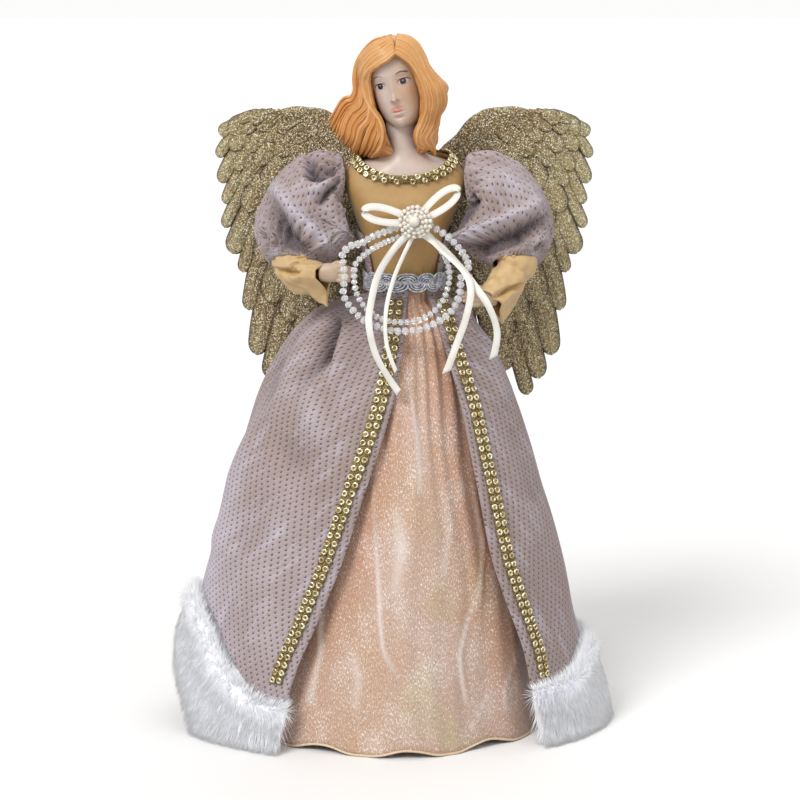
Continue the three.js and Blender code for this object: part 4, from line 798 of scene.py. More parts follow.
def organza_fold(angle, down):
    """Soft gathers that grow towards the hem, and sharp ones that leave the waist."""
    gathers = cos(9 * angle + 1.2 * sin(2 * angle) + 0.8 * down)
    fine = 0.5 - 0.5 * cos(34 * angle + 4 * noise.noise(Vector((2 * angle, 3 * down, 1))))
    drift = noise.noise(Vector((3.1 * angle, 2.4 * down, 7.7)))
    tight = 1.4 * MM * fine * (bell(down - 0.08, 0.24) + 0.45) * clamp(8 * down)
    soft = skirt_fold_depth * down * (0.5 - 0.5 * gathers)
    return -soft - tight - 1.2 * MM * clamp(2 * down) * (0.5 + drift)

# %% Crests of the organza
organza_marks = (  # crests of folds: points (x, z, depth), half width, and the same on both sides
    (((-12, 150, -0.4), (-9.7, 111, -1), (-8.4, 92, -1), (-7.5, 76, -1), (-5.6, 61, -1), (1, 50, -0.5)),
     1.3, 1.0),
    (((46, 150, -0.4), (52.4, 116, -0.9), (50.5, 90, -1), (44.2, 75, -1.1), (38.6, 56, -1.1),
      (40.5, 41, -1), (43.3, 29, -0.7)), 1.1, 1.0),
    (((-40, 90, -0.5), (-42.9, 73, -1), (-42.5, 57, -1.1), (-46.1, 42, -1), (-48.9, 27, -0.6)), 1.7, 1.0),
    (((75.5, 55, -0.8), (68.9, 43, -1), (64.9, 31, -1), (65.3, 22, -0.6)), 1.0, 1.0),
    (((57, 31, -0.8), (51.5, 21, -1), (46, 13, -0.8)), 1.0, 1.0),
    (((8, 215, -0.4), (14, 180, -0.8), (16, 150, -0.6)), 1.6, 1.0),
    (((2, 140, -0.5), (5, 118, -0.8), (1, 96, -0.5)), 3.4, 1.0),
    (((30, 150, -0.3), (33, 128, -0.6), (30, 104, -0.4)), 2.2, 1.0),
    (((-24, 60, -0.3), (-20, 44, -0.6), (-22, 28, -0.4)), 2.4, 1.0),
)


def organza_spot(u, v):
    angle, down = (u + 0.25) * tau, v ** 1.5
    plain = skirt_point(angle, lerp(skirt_top, organza_hem(angle), down), organza_fold(angle, down))
    crest = press(plain, organza_marks, clamp(-4 * sin(angle)) * clamp(14 * (1 - down)))
    return plain + Vector((cos(angle), sin(angle), 0)) * -0.8 * crest


def organza_shade(u, v):
    """Painted highlight on the crests of the folds, painted shade in the shelter of the coat's edges."""
    angle, down = (u + 0.25) * tau, v ** 1.5
    spot = skirt_point(angle, lerp(skirt_top, organza_hem(angle), down), 0)
    signed = angle - tau if angle > pi else angle
    right, left = coat_edges(spot.z)
    near = min(right - signed, signed - (left - tau)) * math.hypot(spot.x, spot.y)
    shelter = 0.75 * clamp(1 - near / (16 * MM)) * clamp(2 * (1 - v) + 0.35)
    return press(spot, organza_marks, clamp(-4 * sin(angle))) / MM + shelter


organza = grid_sheet(420, 90, organza_spot, wrap=True, split=0.5, shade=organza_shade)
organza = thicken(hang("organza_cloth", turned(organza), organza_finish, "figure",
                       ["organza_skirt"]), organza_thickness * 0.7)

hem_roll, tree, shader = new_material("rolled organza hem", tone(222, 192, 158), 0.5)
rolled = grained(shader, (206, 172, 130), (240, 224, 200), 900.0, 1.0)
plug(shader, normal=bump(tree, rolled, 0.6, 0.0005))
roll_radius = 0.75 * MM
hem_path = [organza_spot(k / 216, 1) + Vector((0, 0, roll_radius)) for k in range(216)]
hang("organza_hem_roll", cord(hem_path, roll_radius, 6, closed=True), hem_roll, "figure")


def lining_spot(u, v):
    angle = (u + 0.25) * tau
    z = lerp(waist_height * 0.93, lining_hem_lift, v ** 1.7)
    fold = lining_inset * 0.4 * (cos(12 * angle) - 1) * v
    offset = -organza_thickness - 6 * clearance - (skirt_fold_depth + lining_inset) * min(1, v * 1.4)
    return skirt_point(angle, z, offset + fold)


lining = grid_sheet(120, 40, lining_spot, wrap=True, split=0.5)
lining = thicken(hang("lining_cloth", turned(lining), satin_finish, "figure",
                      ["satin_lining"]), lining_thickness)

# %% [markdown]
# ## Fur along the coat's hem
#
# Long pile could be a particle system, which the export would lose. One hair is bent from a small
# cone and repeated tens of thousands of times, rooted on the band's surface and combed downwards,
# with clumps that lean together. The band itself stays underneath as the hide.

# %% Fur band
fur_thickness = 9 * MM
fur_rise = 42 * MM
fur_rise_shares = (  # lowest edge of the fur, across the cloth as for the hem
    (0, 0.05), (0.06, 0), (0.14, 0), (0.3, 0.06), (0.5, 0.02), (0.66, 0.45), (0.79, 1),
    (0.868, 0.4), (0.91, 0.03), (0.964, 0.02), (1, 0.08),
)


def fur_frame(across):
    """Middle of the band, its direction down, outwards, and half its height and thickness."""
    top = coat_surface(across, 1, -coat_thickness / 2)
    above = coat_surface(across, 0.9, -coat_thickness / 2)
    down = (top - above).normalized()
    outward = coat_surface(across, 1, coat_thickness) - top
    outward.z = 0
    outward.normalize()
    fall = top.z - fur_rise * read(fur_rise_shares, across) - 2 * clearance
    length = fall / -down.z
    reach = fur_thickness / 2 * min(1, 6 * min(across, 1 - across) + 0.55)
    middle = top + down * (length / 2 + 2 * clearance) + outward * (reach - coat_thickness / 2)
    return middle, down, outward, length / 2, reach


def fur_spot(across, turn, grow=1.0):
    """A point of the band's skin: turn runs round its section from the lower edge."""
    middle, down, outward, half, reach = fur_frame(clamp(across))
    a = math.copysign(abs(cos(turn)) ** 0.7, cos(turn)) * half * grow
    b = math.copysign(abs(sin(turn)) ** 0.8, sin(turn)) * reach * grow
    spot = middle + down * a + outward * b
    spot.z = max(spot.z, 0.2 * MM)
    return spot

# %% Hide under the fur
# The faint white emission is painted light: a glow in place of light scattered among the white hairs.
fur_finish, tree, shader = new_material("white fur", tone(244, 245, 249), 0.75, sheen_weight=0.35,
                                        sheen_roughness=0.35, subsurface_weight=0.15,
                                        subsurface_scale=0.004, emission_strength=0.1,
                                        emission_color=tone(250, 250, 255))
lock = noise_of(tree, place_of(tree, (1, 1, 0.35)), 130.0, 2.0)
root_tint = mix_color(tree, ramp(tree, lock, 0.35, 0.65), (226, 226, 233), (246, 246, 250))
along_hair = axes_of(tree, uv_of(tree))[1]
plug(shader, base_color=mix_color(tree, ramp(tree, along_hair, 0.1, 0.8), root_tint, (254, 254, 255)))

hide = grid_sheet(20, 160, lambda u, v: fur_spot(v, u * tau, 0.93), wrap=True)
hang("fur_hide", seal(hide), fur_finish, "figure", ["fur_band"])


def hair_template():
    """One hair, a unit long along Z, bent forwards and drawn to a point."""
    bm = grid_sheet(3, 2, lambda u, v: Vector((0.5 * (1 - v) ** 0.8 * cos(u * tau),
                                               0.5 * (1 - v) ** 0.8 * sin(u * tau), v)),
                    cut=lambda u, v: (0.5, v))
    bmesh.ops.remove_doubles(bm, verts=bm.verts, dist=0.001)
    seal(bm)
    for vert in bm.verts:
        vert.co.y += 0.16 * vert.co.z ** 2
    return bm

# %% Fur pile
def fur_strands(seed, count, low, high):
    """Places for hairs between two shares of the way across the coat."""
    dice = random.Random(seed)
    places = []
    for _ in range(count):
        across = lerp(low, high, dice.random())
        turn = pi * dice.choice((1, 1, 1, 1, -1)) * dice.random() ** 0.9
        _, down, outward, _, _ = fur_frame(across)
        root = fur_spot(across, turn, 0.8)
        sideways = down.cross(outward)
        clump = noise.noise(root * 190) * 0.5 + noise.noise(root * 60 + Vector((5, 1, 2))) * 0.5
        face = outward * sin(turn) + down * cos(turn) * 0.7
        edge = max(0, 1 - 14 * min(across, 1 - across)) * (1 if across > 0.5 else -1)
        fall = lerp(1.25, -1.1, clamp((abs(turn) / pi - 0.74) / 0.2))
        lean = (face * (0.34 + 0.2 * dice.random()) + down * fall
                + sideways * (0.5 * clump + 0.35 * (dice.random() - 0.5) - 0.7 * edge))
        size = (11 + 5 * dice.random() + 4 * clump) * MM * (1 - 0.35 * max(0, -cos(turn)))
        hair = lean.normalized() * size
        under = max(0.0, 0.5 * MM - root.z - hair.z)
        hair += outward * 0.3 * under
        hair.z += under
        up, size = hair.normalized(), hair.length
        bend = (down - up * down.dot(up)).normalized()
        right = bend.cross(up)
        width = (0.36 + 0.24 * dice.random()) * MM
        axes = Matrix((right * width, bend * width, up * size)).transposed().to_4x4()
        places.append(Matrix.Translation(root) @ axes)
    return places


fur_halves = (("fur_pile_right", 11, 0.0, 0.5), ("fur_pile_left", 12, 0.5, 1.0))
hairs_each = 19000
for name, seed, start, end in fur_halves:
    pile = copies(hair_template(), fur_strands(seed, hairs_each, start, end))
    hang(name, pile, fur_finish, "figure")

# %% [markdown]
# ## Rows of gold cups
#
# The trim is sold by the metre: small gold cups in two rows on a strip. One cup is a ring with a dark
# facetted piece sunk in it, painted shade for its hollow, and its copies follow the coat's edge at the
# pitch that the frame's own trim has.

# %% Finishes of the trims
both_sides = ((1, "right"), (-1, "left"))
cup_pitch = 4.7 * MM
trim_width = 8.4 * MM
trim_backing = 0.7 * MM
trim_inset = 5.4 * MM
braid_height = 11.5 * MM
cup_gold, tree, shader = new_material("gold cups", tone(220, 204, 146), 0.22, metallic=0.75,
                                      specular_ior_level=0.7)
glint = grained(shader, (158, 134, 78), (246, 238, 200), 420.0, 2.0, 0.7, (0.4, 0.62))
plug(shader, roughness=ramp(tree, glint, 0.3, 0.7, 0.36, 0.14))
strip_finish, tree, shader = new_material("trim strip", tone(92, 72, 42), 0.6, metallic=0.3)
grained(shader, (46, 34, 26), (168, 146, 92), 1600.0, 2.0, 0.7, (0.42, 0.6))
# The dark pieces that sit in the cups are painted shade for each cup's hollow.
cup_hollow_shade, tree, shader = new_material("sunk stones", tone(70, 56, 44), 0.08,
                                          specular_ior_level=0.9, coat_weight=0.8)
grained(shader, (48, 36, 28), (150, 130, 96), 700.0, 1.0, span=(0.4, 0.6))

# %% One cup and the shade in it
def cup_template(radius):
    """A gold ring, a little above its strip."""
    reach = radius * 0.72
    ring = [Vector((reach * cos(tau * k / 12), reach * sin(tau * k / 12), radius * 0.34)) for k in range(12)]
    return cord(ring, radius * 0.36, 6, closed=True)


def cup_shade_template(radius):
    """A small facetted piece that sits low in the cup, painted dark as the shade in its hollow."""
    bm = bmesh.new()
    bmesh.ops.create_cone(bm, cap_ends=True, segments=8, radius1=radius * 0.62, radius2=radius * 0.26,
                          depth=radius * 0.3)
    bmesh.ops.translate(bm, verts=bm.verts, vec=(0, 0, radius * 0.3))
    return bm


def facing(spot, normal, along, size=1.0):
    """A matrix that sets a template on a spot, its Z along the normal and its Y along the row."""
    z = normal.normalized()
    y = (along - z * along.dot(z)).normalized()
    return Matrix.Translation(spot) @ Matrix((y.cross(z), y, z)).transposed().to_4x4() @ Matrix.Scale(size, 4)

# %% Trims down the coat
trim_top = coat_top - braid_height * 0.6
trim_rows = 45
cup_radius = 1.85 * MM


def coat_trim_spot(towards, z, lane, lift):
    """A point above the coat: lane runs from 0 to 1 across the strip."""
    edge = coat_edges(z)[0 if towards > 0 else 1]
    step = 0.01
    speed = (coat_point(edge + step, z, 0) - coat_point(edge, z, 0)).length / step
    share = (trim_top - z) / cup_pitch / trim_rows
    away = trim_inset * min(1, 0.35 + share) + lane * trim_width
    over_waist = coat_thickness * bell(z - trim_top, braid_height)
    return coat_point(edge + towards * away / speed, z, 2 * clearance + over_waist + lift)


def set_cups(title, places):
    """Cups and the painted shade in their hollows at the places of a trim. The title leaves a gap for which they are.
    """
    hang(title.format("cups"), copies(cup_template(cup_radius), places), cup_gold, "figure")
    hang(title.format("stones"), copies(cup_shade_template(cup_radius), places), cup_hollow_shade, "figure",
         smooth=False)


def coat_trim(side, towards):
    """The strip, its cups and the painted shade in them down one front edge of the coat."""
    edge_share = 0 if towards > 0 else 1
    low_z = max(coat_hem(edge_share), coat_hem(abs(edge_share - 0.06))) + 4 * clearance
    rows = round((trim_top - low_z) / cup_pitch)
    places = []
    for i in range(rows):
        z = lerp(trim_top, low_z, (i + 0.5) / rows)
        for lane in (0.24, 0.76):
            here = coat_trim_spot(towards, z, lane, 0)
            along = coat_trim_spot(towards, z - MM, lane, 0) - here
            sideways = coat_trim_spot(towards, z, lane + 0.1, 0) - here
            spot = coat_trim_spot(towards, z, lane, trim_backing * 0.6)
            normal = along.cross(sideways) * towards
            if normal.dot(spot - Vector((body_lean, 0, z))) < 0:
                normal = -normal
            places.append(facing(spot, normal, along))
    strip = grid_sheet(4, rows * 2, lambda u, v: coat_trim_spot(
        towards, lerp(trim_top, low_z, v), lerp(0.04, 0.96, u), trim_backing * (0.5 + 0.3 * sin(pi * u))))
    if towards > 0:
        strip = turned(strip)
    thicken(hang(f"trim_strip_{side}", strip, strip_finish, "figure",
                 [f"coat_trim_{side}"]), trim_backing * 0.6)
    set_cups("trim_{}_" + side, places)


for towards, side in both_sides:
    coat_trim(side, towards)

# %% [markdown]
# ## Bodice, coat back and neckline
#
# The bodice is a tight satin tube over a foam core. Every layer of the upper body is a point on the
# same torso, moved outwards by its own distance, so the coat's back lies on the satin and the cups
# lie on the neckline.

# %% Bodice and the coat's back
chest = Vector((body_lean, 0, waist_height))
shoulder_half_width = 36 * MM
chest_half_depth = 21.5 * MM
torso_height = 75 * MM
satin_thickness = 1.1 * MM
torso_shares = (  # height, half width, half depth
    (0, 0.54, 0.72), (0.15, 0.56, 0.745), (0.35, 0.665, 0.88), (0.58, 0.82, 1), (0.74, 0.95, 0.93),
    (0.84, 0.99, 0.82), (0.9, 0.94, 0.77), (0.95, 0.85, 0.76), (1, 0.73, 0.74),
)


def bodice_point(angle, up, offset):
    """A point of the bodice's outer face at a share of the way up to the neckline."""
    side = shoulder_half_width * read(torso_shares, up, 1) + offset
    depth = chest_half_depth * read(torso_shares, up, 2) + offset
    c, s = cos(angle), sin(angle)
    rise = torso_height * lerp(1, 0.84, ((1 - s) / 2) ** 2.2)
    return chest + Vector((side * math.copysign(abs(c) ** 0.86, c), depth * math.copysign(abs(s) ** 0.86, s),
                           up * rise))


def satin_cloth(name, low, high):
    """Ochre satin: a fine twill, soft patches and a broad sheen."""
    made, tree, shader = new_material(name, tone(*low), 0.5, sheen_weight=0.3, sheen_roughness=0.35,
                                      anisotropic=0.4)
    weave = woven(tree, uv_of(tree, turn=0.7), 0.00055)
    cloth_colour = mix_color(tree, mottled(tree, place_of(tree), 45.0), low, high)
    cloth_colour = tinted(tree, cloth_colour, [(weave, 0.35, 0.75, 0.22, (236, 206, 150))])
    creases = noise_of(tree, uv_of(tree, (1, 0.4, 1)), 210.0, 3.0, 0.55)
    plug(shader, base_color=cloth_colour, roughness=ramp(tree, creases, 0.3, 0.7, 0.42, 0.6),
         normal=bump(tree, weave, 0.3, 0.0003, bump(tree, creases, 0.35, 0.0009)))
    return made


ochre_satin = satin_cloth("ochre satin", (168, 128, 72), (186, 148, 94))
# The cuffs' satin is the bodice's satin painted lighter, for the brighter light that falls on the cuffs.
cuff_satin_painted_lighter = satin_cloth("ochre satin painted lighter for the cuffs", (198, 162, 108), (214, 182, 134))


def bodice_spot(u, v):
    angle = (u - 0.25) * tau
    pulls = noise.noise(Vector((2.2 * sin(angle), 5 * v, cos(angle) * 2.2)))
    gathers = bell(v, 0.14) * (0.5 - 0.5 * cos(34 * angle + 2 * pulls))
    return bodice_point(angle, v, 0.45 * MM * pulls - 0.9 * MM * gathers * clamp(9 * v + 0.2))


bodice = thicken(hang("bodice_cloth", grid_sheet(120, 60, bodice_spot, wrap=True, split=0.5), ochre_satin,
                      "figure", ["bodice"]), satin_thickness)

# %% The coat's back
coat_back_shares = (  # across from one front edge to the other, height of the upper edge
    (0, 0.42), (0.2, 0.46), (0.34, 0.66), (0.5, 0.88), (0.66, 0.66), (0.8, 0.46), (1, 0.42),
)


def coat_back_spot(u, v):
    angle = lerp(-tau / 12, tau * 7 / 12, u)
    up = lerp(3 * clearance / torso_height, read(coat_back_shares, u), v)
    pulls = noise.noise(Vector((4 * angle, 7 * v, 3)))
    return bodice_point(angle, up, 3 * clearance + coat_thickness + 0.5 * MM * max(0, pulls))


coat_back = thicken(hang("coat_back_cloth", grid_sheet(90, 36, coat_back_spot, split=0.5), mauve_knit,
                         "figure", ["coat_back"]), coat_thickness)

# %% [markdown]
# ## Neckline cups
#
# The strip of cups also runs round the neckline. A straight strip could be bent round it, which
# would stretch the cups at the shoulders; here each cup is set on the torso by itself and stays round.

# %% Neckline cups
neck_trim_width = 7.4 * MM
neck_girth = pi * (shoulder_half_width * 0.8 + chest_half_depth * 0.76)
neck_cups = round(neck_girth / cup_pitch)
neck_span = neck_trim_width / torso_height / 1.35


def neck_trim_spot(turn, lane, lift):
    beside = cos(turn * tau) ** 2
    spot = bodice_point(turn * tau, 1 - neck_span * (1 - lane) * (1 - 0.5 * beside),
                        2 * clearance + lift * 0.8 - 1.4 * MM * lane * beside)
    spot.z += clearance + lift * 0.6 + 1.6 * MM * lane * beside
    return spot


neck_places = []
for k in range(neck_cups):
    for lane in (0.22, 0.78):
        turn = (k + 0.5 * (lane > 0.5)) / neck_cups
        spot = neck_trim_spot(turn, lane, trim_backing * 0.6)
        along = neck_trim_spot(turn + 0.01, lane, 0) - neck_trim_spot(turn, lane, 0)
        inwards = neck_trim_spot(turn, lane, 0) - neck_trim_spot(turn, lane - 0.1, 0)
        neck_places.append(facing(spot, along.cross(inwards), along, 0.94))
neck_strip = grid_sheet(neck_cups * 2, 4, lambda u, v: neck_trim_spot(
    u, v, trim_backing * (0.45 + 0.3 * sin(pi * v))), wrap=True)
thicken(hang("neck_trim_strip", neck_strip, strip_finish, "figure", ["neck_trim"]),
        trim_backing * 0.5)
set_cups("neck_trim_{}", neck_places)

# %% [markdown]
# ## Waist braid
#
# Gimp braid is a thick thread laid in fans on a flat cord. One scallop is a nest of four arches, and
# it is repeated round the waist, turned over at every second place as the fans alternate.

# %% Waist braid
braid_thickness = 1.6 * MM
braid_fans = 28
braid_thread = 0.55 * MM
braid_middle = 2.1 * MM
braid_finish, tree, shader = new_material("silver braid", tone(170, 176, 186), 0.42, metallic=0.35)
grained(shader, (150, 150, 166), (226, 228, 230), 500.0, span=(0.35, 0.65))
plug(shader, normal=bump(tree, noise_of(tree, place_of(tree), 2600.0, 1.0), 0.6, 0.0004))
girth_at_waist = pi * (shoulder_half_width * 0.54 + chest_half_depth * 0.72 + 2 * coat_thickness + 4 * MM)
fan_radii = (5.0 * MM, 3.6 * MM, 2.2 * MM, 0.9 * MM)
gap_shade_rise = 6.9 * MM


def braid_spot(turn, z, lift):
    """A point on the face of the braid's band."""
    offset = coat_thickness + 5 * clearance + braid_thickness * 0.55 + lift
    spot = bodice_point(turn * tau, clamp(z / torso_height), offset)
    spot.z = waist_height + z
    return spot


def braid_arch(turn, up, radius):
    """One arch of thread, from the cord up or down round its fan."""
    width = radius / (girth_at_waist / tau)
    path = []
    for k in range(11):
        bend = pi * (k / 10)
        path.append(braid_spot(turn + width * cos(bend) / tau, braid_middle + up * (
            0.6 * MM + radius * 0.92 * sin(bend) ** 0.8), 0.25 * MM * sin(bend)))
    return cord(path, braid_thread, 5)


arches = [braid_arch((k + 0.25) / braid_fans, 1 if k % 2 else -1, radius)
          for k in range(braid_fans) for radius in fan_radii]
band_path = [braid_spot(k / 96, braid_middle, 0) for k in range(96)]
for lift in (-0.45, 0.45):
    lane = [spot + Vector((0, 0, lift * 2 * braid_thread)) for spot in band_path]
    arches.append(cord(lane, braid_thread, 5, closed=True))
hang("braid_fans", merge(arches), braid_finish, "figure", ["waist_braid"])
# A dark sheet behind the fans: painted shade in the gaps of the braid.
braid_gap_shade, tree, shader = new_material("painted shade behind the braid", tone(120, 126, 138), 0.7)
grained(shader, (70, 72, 84), (132, 136, 140), 1800.0)


def braid_gap_shade_spot(u, v):
    wave = abs(sin(u * braid_fans * pi))
    high = lerp(gap_shade_rise * 0.8, gap_shade_rise * 0.95, wave)
    low = lerp(-2.4 * MM, -2.8 * MM, wave)
    return braid_spot(u, lerp(low, high, v), -0.35 * MM)


thicken(hang("braid_shade_sheet", grid_sheet(168, 4, braid_gap_shade_spot, wrap=True), braid_gap_shade, "figure"), braid_thickness * 0.4)

# %% [markdown]
# ## Sleeves and cuffs
#
# A puffed sleeve is far more cloth than arm: it is gathered into the armhole and again above the
# elbow, and between them it folds under its own weight. It could be inflated by a cloth simulation.
# The folds that the eye remembers are a few deep pockets in known places, so they are pressed into
# the puff one by one, as a dresser would.

# %% Sizes and marks of the sleeves
arm_axis_height = torso_height * 0.707
elbow_reach, elbow_forward, elbow_drop = 64 * MM, 17 * MM, 42 * MM
wrist_forward = 36 * MM
sleeve_bulge = 27 * MM
sleeve_fold_depth = 5 * MM
armhole_radius = 12.5 * MM
cuff_radius = 10.5 * MM
cuff_fullness = 11.6 * MM
cuff_thickness = 1.2 * MM
sleeve_thickness = 1.1 * MM
hand_turn = math.radians(15)
hand_length = 19 * MM
sleeve_rows, cuff_rows = 130, 80
puff_shares = (  # along the sleeve, how full it is
    (0, 0), (0.06, 0.5), (0.2, 0.94), (0.42, 1), (0.68, 0.96), (0.86, 0.7), (0.95, 0.3), (1, 0),
)
sleeve_marks = {  # points (x, z, depth) seen from the front, below zero for a ridge; half width,
    # and how much narrower the mark is on the left-hand side of its line
    "left": ((((-34, 327.5, 6), (-42, 324, 10), (-49, 326, 12), (-50.5, 333, 8)), 5.0, 0.3),
             (((-31, 322.5, 6), (-37, 316.5, 9), (-41, 311, 5)), 2.6, 0.6),
             (((-47, 318, -2.6), (-35, 322.5, -3.5)), 3.0, 1.0),
             (((-70, 313, 4), (-64, 306, 8), (-57, 295, 12), (-50, 284, 16), (-45, 276, 16)), 8.0, 0.25),
             (((-70, 319, -2.5), (-62, 313, -4), (-53, 301, -5), (-46, 290, -5.5), (-40.5, 280, -4)),
              3.4, 1.0),
             (((-29, 283, 7), (-28, 293, 9), (-26, 304, 8)), 4.6, 0.3),
             (((-66, 303, 2), (-68, 287, 3)), 1.4, 1.0), (((-61, 300, 2), (-63, 284, 3.5)), 1.4, 1.0),
             (((-56, 292, 2), (-57, 278, 3.5)), 1.4, 1.0), (((-71, 306, 1.5), (-73, 284, 3)), 1.5, 1.0),
             (((-64, 335, -3), (-50, 340, -3)), 5.0, 1.0), (((-38, 306, -2), (-37, 290, -3)), 4.0, 1.0)),
    "right": ((((40, 283, 8), (50, 286, 15), (61, 291, 17), (71, 296.5, 14), (82, 302, 7)), 7.0, 0.25),
              (((28.5, 293, -3), (34, 288.5, -4), (41, 287.5, -5), (49.5, 292, -5), (61, 299.5, -5),
                (69.5, 304.7, -4), (81, 309, -3)), 3.4, 1.0),
              (((54, 276, -3), (66, 282, -4), (82, 289, -3)), 5.0, 1.0),
              (((35, 295, 8), (39, 302, 11), (44, 308, 8)), 5.0, 0.5),
              (((42, 318, 6), (48, 311, 7)), 2.2, 0.7),
              (((50, 327, -2), (66, 322, -3), (78, 314, -2)), 6.0, 1.0),
              (((72, 273, 5), (76, 281, 6), (83, 287, 4)), 2.2, 0.5),
              (((59, 275, 4), (57, 284, 3)), 1.6, 1.0), (((66, 274, 4), (66, 283, 3)), 1.6, 1.0),
              (((53, 276, 4), (51, 283, 3)), 1.6, 1.0)),
}

# %% Where the sleeve lies
def frame_on(spine, k, side):
    """Two directions square to a spine at its point k, the first as near to side as can be."""
    tangent = (spine[min(k + 1, len(spine) - 1)] - spine[max(k - 1, 0)]).normalized()
    across = (side - tangent * side.dot(tangent)).normalized()
    return across, tangent.cross(across)


def elbow_of(side):
    return Vector((side * elbow_reach, -elbow_forward, arm_axis_height - elbow_drop))


def wrist_of(side):
    reach, drop = (50 * MM, 57 * MM) if side > 0 else (46 * MM, 43 * MM)
    return Vector((side * reach, -wrist_forward, arm_axis_height - drop))


def finger_direction(side):
    return Vector((-side * cos(hand_turn), -sin(hand_turn), 0))


def sleeve_spine(side):
    rim_x = shoulder_half_width * read(torso_shares, 0.8657, 1) + 2 * clearance
    low = elbow_of(side).z - arm_axis_height + cuff_radius * 0.2
    return rim_x, smooth_path([
        Vector((rim_x, 0, 0)),
        Vector((rim_x + sleeve_bulge * 0.36, -elbow_forward * 0.05, sleeve_bulge * 0.02)),
        Vector((elbow_reach * 0.93, -elbow_forward * 0.35, low * 0.42)),
        Vector((elbow_reach * 0.99, -elbow_forward * 0.75, low * 0.8)),
        Vector((elbow_reach, -elbow_forward, low))], sleeve_rows + 1)

# %% Sleeves
def sleeve_spot(side, name, rim_x, spine, u, along, fine=1.0):
    """A point of the sleeve, or with fine=None how deep the marks press there."""
    k = round(along * sleeve_rows)
    centre = spine[k]
    angle = u * tau
    across, lift = frame_on(spine, k, Vector((0, 1, 0)))
    ends = lerp(armhole_radius, cuff_fullness + clearance + sleeve_thickness, along)
    folds = 0.6 * cos(4 * angle + 3 * along) + 0.4 * cos(2 * angle - 5 * along)
    puff = read(puff_shares, along)
    gather = 0.8 * sleeve_fold_depth * puff * (0.5 - 0.5 * folds)
    ruffle = 0.5 - 0.5 * cos(22 * angle + 5 * noise.noise(Vector((2 * angle, 4 * along, side))))
    ruffle *= (2.3 * bell(along - 0.12, 0.1) + 3.0 * bell(along - 0.86, 0.13)) * MM
    ruffle *= clamp(9 * along) * clamp(12 - 12 * along)
    radius = lerp(ends, sleeve_bulge, puff) - gather - ruffle
    out = across * cos(angle) + lift * sin(angle)
    spot = centre + out * radius
    here = chest + Vector((side * spot.x, spot.y, spot.z + arm_axis_height))
    front = clamp(0.35 - 1.6 * out.y) * clamp(10 * along) * clamp(10 - 10 * along)
    wrinkles = noise.noise(Vector((here.x * 80, here.z * 80, 3 * side))) * 0.9 * MM
    wrinkles += noise.noise(here * 210 + Vector((3, 1, side))) * 0.3 * MM
    marked = press(here, sleeve_marks[name], front)
    if fine is None:
        return marked
    dent = marked + wrinkles * clamp(5 * along) * clamp(5 - 5 * along)
    least = lerp(ends * 0.7, cuff_fullness + clearance + sleeve_thickness, clamp(8 * along - 6))
    spot = spot - out * fine * min(dent, max(radius - least, 0))
    spot.x -= 8 * MM * bell(along - 0.6, 0.26) * clamp(-1.5 * out.x)
    below = clamp(-spot.z / armhole_radius - 1)
    beside = math.sqrt(max(0.0, 1 - (spot.y / (chest_half_depth + 2 * MM)) ** 2))
    spot.x = max(spot.x, lerp(rim_x, shoulder_half_width * 0.84, below) * lerp(0.62, 1, beside))
    return chest + Vector((side * spot.x, spot.y, spot.z + arm_axis_height))


for side, name in both_sides:
    rim_x, spine = sleeve_spine(side)
    # The kept shade paints shade into the marks' hollows and a highlight on their ridges.
    sleeve = grid_sheet(220, sleeve_rows, lambda u, v: sleeve_spot(side, name, rim_x, spine, u, v), wrap=True,
                        split=0.5, flat=lambda u, v: sleeve_spot(side, name, rim_x, spine, u, v, 0),
                        shade=lambda u, v: sleeve_spot(side, name, rim_x, spine, u, v, None) / (7 * MM))
    bmesh.ops.recalc_face_normals(sleeve, faces=sleeve.faces)
    thicken(hang(f"sleeve_{name}_cloth", sleeve, sleeve_knit, "arms",
                                 [f"sleeve_{name}"]), sleeve_thickness)

# %% [markdown]
# ## Cuffs
#
# Under each puff a satin undersleeve widens to a mouth that sags below the wrist. A cone cut at a
# slant would look like tin; a tube along the bent arm is pulled down at its mouth and creased.

# %% Cuffs
def cuff_spine(side):
    elbow, wrist = elbow_of(side), wrist_of(side)
    end = wrist + finger_direction(side) * hand_length * 0.02
    end.z = wrist.z - cuff_radius * 0.3
    return smooth_path([
        elbow + Vector((0, 0, cuff_radius * 0.95)),
        elbow + Vector((side * cuff_radius * 0.1, -cuff_radius * 0.1, cuff_radius * 0.4)),
        elbow + Vector((-side * cuff_radius * 0.25, -cuff_radius * 0.4, -cuff_radius * 0.3)),
        wrist.lerp(elbow, 0.45) + Vector((0, 0, -cuff_radius * 0.3)), end], cuff_rows + 1)


cuff_marks = {  # as the sleeves' marks: the fold at the elbow's bend, and a soft one under it
    "left": ((((-70, 272.5, 3), (-64, 272.6, 6), (-56, 273.2, 4)), 2.6, 0.3),
             (((-60, 262, 1.6), (-47, 258, 1.6)), 2.4, 1.0)),
    "right": ((((58, 260.5, 3), (66, 263.5, 6), (74, 264.5, 4)), 2.6, 0.3),
              (((64, 250, 1.6), (72, 257, 1.6)), 2.2, 1.0)),
}


